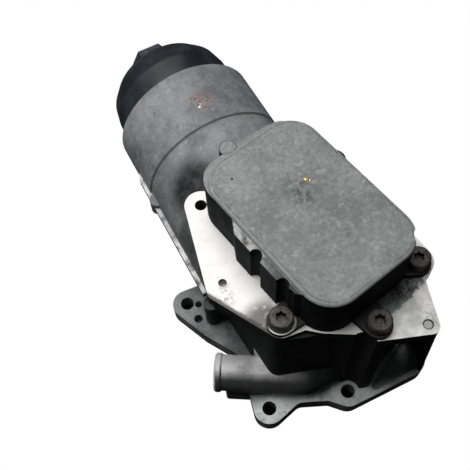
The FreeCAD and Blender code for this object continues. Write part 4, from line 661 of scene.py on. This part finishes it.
# %%
def spring_tree():
    tree = bpy.data.node_groups.new("coil_spring", "GeometryNodeTree")
    face = tree.interface
    for name, amount in (("Turns", 7.0), ("Radius", 0.0066), ("Wire", 0.0008), ("Length", 0.0158)):
        face.new_socket(name, in_out="INPUT", socket_type="NodeSocketFloat").default_value = amount
    face.new_socket("Geometry", in_out="OUTPUT", socket_type="NodeSocketGeometry")
    start = tree.nodes.new("NodeGroupInput")
    end = tree.nodes.new("NodeGroupOutput")
    turns, radius, wire, length = (start.outputs[name] for name in ("Turns", "Radius", "Wire", "Length"))
    points_per_turn, wire_sides = 28, 12
    path = feed(tree, tree.nodes.new("GeometryNodeCurveSpiral"),
                {"Resolution": points_per_turn, "Height": 0.0, "Rotations": turns,
                 "Start Radius": radius, "End Radius": radius})
    along = tree.nodes.new("GeometryNodeSplineParameter").outputs["Factor"]
    turn = arithmetic(tree, "MULTIPLY", along, turns)

    def ramp(low, high, rise):
        """Height gained between two turns, as a clamped straight ramp."""
        node = tree.nodes.new("ShaderNodeMapRange")
        feed(tree, node, {"Value": turn, "From Min": low, "From Max": high, "To Max": rise})
        return node.outputs["Result"]

    # Touching coils lie a little more than two wire radii apart
    touching = 2.05
    coil = arithmetic(tree, "MULTIPLY", wire, touching)
    last = arithmetic(tree, "SUBTRACT", turns, 1.0)
    rise = arithmetic(tree, "SUBTRACT", length, arithmetic(tree, "MULTIPLY", wire, 2.0))
    free = arithmetic(tree, "SUBTRACT", rise, arithmetic(tree, "MULTIPLY", coil, 2.0))
    height = arithmetic(tree, "ADD", ramp(0.0, 1.0, coil), ramp(1.0, last, free))
    height = arithmetic(tree, "ADD", height, ramp(last, turns, coil))
    lift = feed(tree, tree.nodes.new("ShaderNodeCombineXYZ"), {"Z": height})
    raised = feed(tree, tree.nodes.new("GeometryNodeSetPosition"),
                  {"Geometry": path.outputs[0], "Offset": lift.outputs[0]})
    section = feed(tree, tree.nodes.new("GeometryNodeCurvePrimitiveCircle"),
                   {"Resolution": wire_sides, "Radius": wire})
    skin = feed(tree, tree.nodes.new("GeometryNodeCurveToMesh"),
                {"Curve": raised.outputs[0], "Profile Curve": section.outputs[0], "Fill Caps": True})
    tree.links.new(skin.outputs[0], end.inputs[0])
    return tree


coil_spring = spring_tree()
print("coil_spring inputs:", [item.name for item in named_inputs(coil_spring)])


# %%
def wind(name, stands_for, seat, axis, **inputs):
    """A spring of plain mesh, wound from seat along axis, in place of a CAD node."""
    mesh = bpy.data.meshes.new(name)
    blank = bpy.data.objects.new(name + "_recipe", mesh)
    bpy.context.collection.objects.link(blank)
    solid = run_recipe(coil_spring, blank, name, made["spring_steel"], inputs)
    turn = Vector(axis).to_track_quat("Z", "Y").to_matrix().to_4x4()
    solid.transform(Matrix.Translation(Vector(seat) + Vector(axis) * inputs["Wire"]) @ turn)
    piece = bpy.data.objects.new(name, solid)
    bpy.context.collection.objects.link(piece)
    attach(piece, "housing_body")
    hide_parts(stands_for)
    print(name, "faces:", len(solid.polygons), "against", stands_for)
    return piece


low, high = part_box("bypass_spring")
bypass_axis = (0.0, 1.0, 0.0)
bypass_seat = ((low.x + high.x) / 2, low.y, (low.z + high.z) / 2)
bypass_coil = wind("bypass_coil", "bypass_spring", bypass_seat, bypass_axis,
                   Turns=7.0, Radius=0.0066, Wire=0.0008, Length=high.y - low.y)
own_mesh(bypass_coil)

low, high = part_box("check_valve_spring")
check_axis = (0.0, 0.0, -1.0)
check_seat = ((low.x + high.x) / 2, (low.y + high.y) / 2, high.z)
check_coil = wind("check_coil", "check_valve_spring", check_seat, check_axis,
                  Turns=7.0, Radius=0.003, Wire=0.0005, Length=high.z - low.z)
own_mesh(check_coil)

# %% [markdown]
# ## Drops and beads
# Two small drops, an amber one on the cover and a clear grey one on the bowl, have bright tones that
# are partly painted glint, and a few pimples stand on the casting where its mould was worn. Each is a
# squat dome that is set down by a ray on the surface below it, so it sits on what carries it from every
# side.

# %%
def dome(name, spots, material, body, squat=0.45, rings=6, spokes=20):
    """Squat domes of given radii, each on its own surface point, as one piece."""
    sunk = 0.05 * MM
    around = [2 * math.pi * k / spokes for k in range(spokes)]
    built = bmesh.new()
    for place, normal, radius in spots:
        turn = normal.to_track_quat("Z", "Y")
        rows = []
        for ring in range(rings):
            angle = math.pi / 2 * ring / rings
            width = radius * MM * math.cos(angle)
            lift = radius * MM * squat * math.sin(angle) - sunk
            ring_spots = [Vector((width * math.cos(way), width * math.sin(way), lift)) for way in around]
            rows.append([built.verts.new(place + turn @ spot) for spot in ring_spots])
        tip = built.verts.new(place + turn @ Vector((0, 0, radius * MM * squat - sunk)))
        for low, up in zip(rows, rows[1:]):
            for k in range(spokes):
                built.faces.new((low[k], low[(k + 1) % spokes], up[(k + 1) % spokes], up[k]))
        for k in range(spokes):
            built.faces.new((rows[-1][k], rows[-1][(k + 1) % spokes], tip))
        built.faces.new(list(reversed(rows[0])))
    mesh = bpy.data.meshes.new(name)
    built.to_mesh(mesh)
    built.free()
    for face in mesh.polygons:
        face.use_smooth = True
    mesh.materials.append(material)
    piece = bpy.data.objects.new(name, mesh)
    bpy.context.collection.objects.link(piece)
    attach(piece, body)
    print(name, "domes:", len(spots))
    return piece


def on(node, x, y, radius):
    """Point and normal where a ray straight down meets a CAD node, with the dome's radius in mm."""
    ray_start = Vector((x * MM, y * MM, 1.0))
    _, spot, normal, _ = nodes[node].ray_cast(ray_start, Vector((0, 0, -1)))
    return spot, normal, radius


# The drops' bright tones are partly painted glint.
amber = Paint("amber_drop", metallic=0.3, roughness=0.12)
swirl = amber.noise(0.6, detail=3)
amber_glint_tone = amber.blend(swirl.step(0.35, 0.65), (0.32, 0.2, 0.05), (0.95, 0.72, 0.3))
amber_finish = amber.finish(amber_glint_tone, 0.1 + swirl * 0.15, height=swirl, depth_mm=0.02)
clear = Paint("bright_drop", metallic=0.2, roughness=0.1)
swirl = clear.noise(0.6, detail=3)
clear_glint_tone = clear.blend(swirl.step(0.35, 0.65), (0.75, 0.75, 0.74), (0.98, 0.98, 0.97))
clear_finish = clear.finish(clear_glint_tone, 0.08 + swirl * 0.1, height=swirl, depth_mm=0.02)
dome("amber_drop", [on("cooler_cover", 15.8, 14.7, 1.3), on("cooler_cover", 17.4, 13.2, 0.8)], amber_finish,
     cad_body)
dome("bright_drop", [on("housing", -1.4, 108.0, 1.0), on("housing", -0.2, 109.8, 0.5)], clear_finish,
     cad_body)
pimples = [(-27, 118, 0.7), (-19, 104, 0.5), (12, 121, 0.6), (-34, 108, 0.8), (3, 99, 0.5), (-8, 127, 0.6),
           (-36, 84, 0.7), (-30, 97, 0.4), (20, 130, 0.5), (-38, 124, 0.5)]
dome("cast_pimples", [on("housing", x, y, radius) for x, y, radius in pimples],
     nodes["housing"].data.materials[0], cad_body, squat=0.35, rings=4, spokes=12)

# %% [markdown]
# ## Floor, light and camera

# %%
def stage_material(name, colour, glow_to_camera):
    """A matt studio surface that shows only its upper side, so the model can be seen from below."""
    material = bpy.data.materials.new(name)
    material.use_nodes = True
    tree = material.node_tree
    tree.nodes.clear()
    out = tree.nodes.new("ShaderNodeOutputMaterial")
    matt = tree.nodes.new("ShaderNodeBsdfDiffuse")
    matt.inputs["Color"].default_value = colour
    upper = matt.outputs[0]
    if glow_to_camera:
        glow = tree.nodes.new("ShaderNodeEmission")
        rays = tree.nodes.new("ShaderNodeLightPath")
        mix = tree.nodes.new("ShaderNodeMixShader")
        tree.links.new(rays.outputs["Is Camera Ray"], mix.inputs[0])
        tree.links.new(upper, mix.inputs[1])
        tree.links.new(glow.outputs[0], mix.inputs[2])
        upper = mix.outputs[0]
    side = tree.nodes.new("ShaderNodeNewGeometry")
    clear = tree.nodes.new("ShaderNodeBsdfTransparent")
    both = tree.nodes.new("ShaderNodeMixShader")
    tree.links.new(side.outputs["Backfacing"], both.inputs[0])
    tree.links.new(upper, both.inputs[1])
    tree.links.new(clear.outputs[0], both.inputs[2])
    tree.links.new(both.outputs[0], out.inputs["Surface"])
    return material


def stage_face(name, corners, material):
    """One flat face of the studio, which is no part of the object."""
    mesh = bpy.data.meshes.new(name)
    mesh.from_pydata(corners, [], [tuple(range(len(corners)))])
    mesh.materials.append(material)
    face = bpy.data.objects.new(name, mesh)
    bpy.context.collection.objects.link(face)
    return face


reach = 4.0
floor_level = -0.2 * MM
stage_face("floor", [(-reach, -reach, floor_level), (reach, -reach, floor_level),
                     (reach, reach, floor_level), (-reach, reach, floor_level)],
           stage_material("pale_floor", (0.06, 0.06, 0.06, 1), True))

# Under each bolt hole a dark patch on the floor is painted shadow, and it shows only through the hole
hole_shadow = stage_material("hole_shadow_sheet", (0.004, 0.004, 0.004, 1), False)
pad_radius = 8.0
pad_sides = 32
flange_holes = ((-42.8, -53.2), (3.8, -66.6), (-56.1, 31.2), (57.0, 20.0))
pad_turns = [2 * math.pi * k / pad_sides for k in range(pad_sides)]
pad_rim = [(pad_radius * math.cos(turn), pad_radius * math.sin(turn)) for turn in pad_turns]
for index, (x, y) in enumerate(flange_holes):
    corners = [((x + du) * MM, (y + dv) * MM, floor_level / 2) for du, dv in pad_rim]
    stage_face("bench_%d" % index, corners, hole_shadow)
print("studio faces: 1 floor,", len(flange_holes), "bench patches")


def area_light(name, place, target, size, power):
    data = bpy.data.lights.new(name, "AREA")
    data.shape = "DISK"
    data.size = size
    data.energy = power
    lamp = bpy.data.objects.new(name, data)
    lamp.location = place
    lamp.rotation_euler = (Vector(target) - Vector(place)).to_track_quat("-Z", "Y").to_euler()
    bpy.context.collection.objects.link(lamp)
    return lamp


middle = (0, 0.04, 0.06)
area_light("ceiling", (-0.15, 0.4, 1.25), middle, 1.1, 15.2)
area_light("side", (-0.9, 0.35, 0.7), middle, 0.6, 2.0)
world = bpy.data.worlds.new("room")
world.use_nodes = True
tree = world.node_tree
room = tree.nodes["Background"]
room.inputs[0].default_value = (0.9, 0.95, 1.0, 1)
room.inputs[1].default_value = 0.03
backdrop = tree.nodes.new("ShaderNodeBackground")
backdrop.inputs[0].default_value = (1, 1, 1, 1)
seen = tree.nodes.new("ShaderNodeLightPath")
both = tree.nodes.new("ShaderNodeMixShader")
tree.links.new(seen.outputs["Is Camera Ray"], both.inputs[0])
tree.links.new(room.outputs[0], both.inputs[1])
tree.links.new(backdrop.outputs[0], both.inputs[2])
tree.links.new(both.outputs[0], tree.nodes["World Output"].inputs["Surface"])
bpy.context.scene.world = world
bpy.context.scene.view_settings.view_transform = "Standard"

# The camera as fitted to the photograph: place, turn about its own axes and lens
camera_place_mm = (-100.05, -149.66, 441.10)
camera_turn_deg = (28.184, 2.031, -27.952)
camera_lens = 55.152
view = bpy.data.cameras.new("photo_view")
view.sensor_width = 36
view.lens = camera_lens
view.clip_start = 0.01
camera = bpy.data.objects.new("photo_view", view)
camera.location = [amount * MM for amount in camera_place_mm]
camera.rotation_euler = [math.radians(amount) for amount in camera_turn_deg]
bpy.context.collection.objects.link(camera)
bpy.context.scene.camera = camera
print("lights: 2, camera lens:", camera_lens)
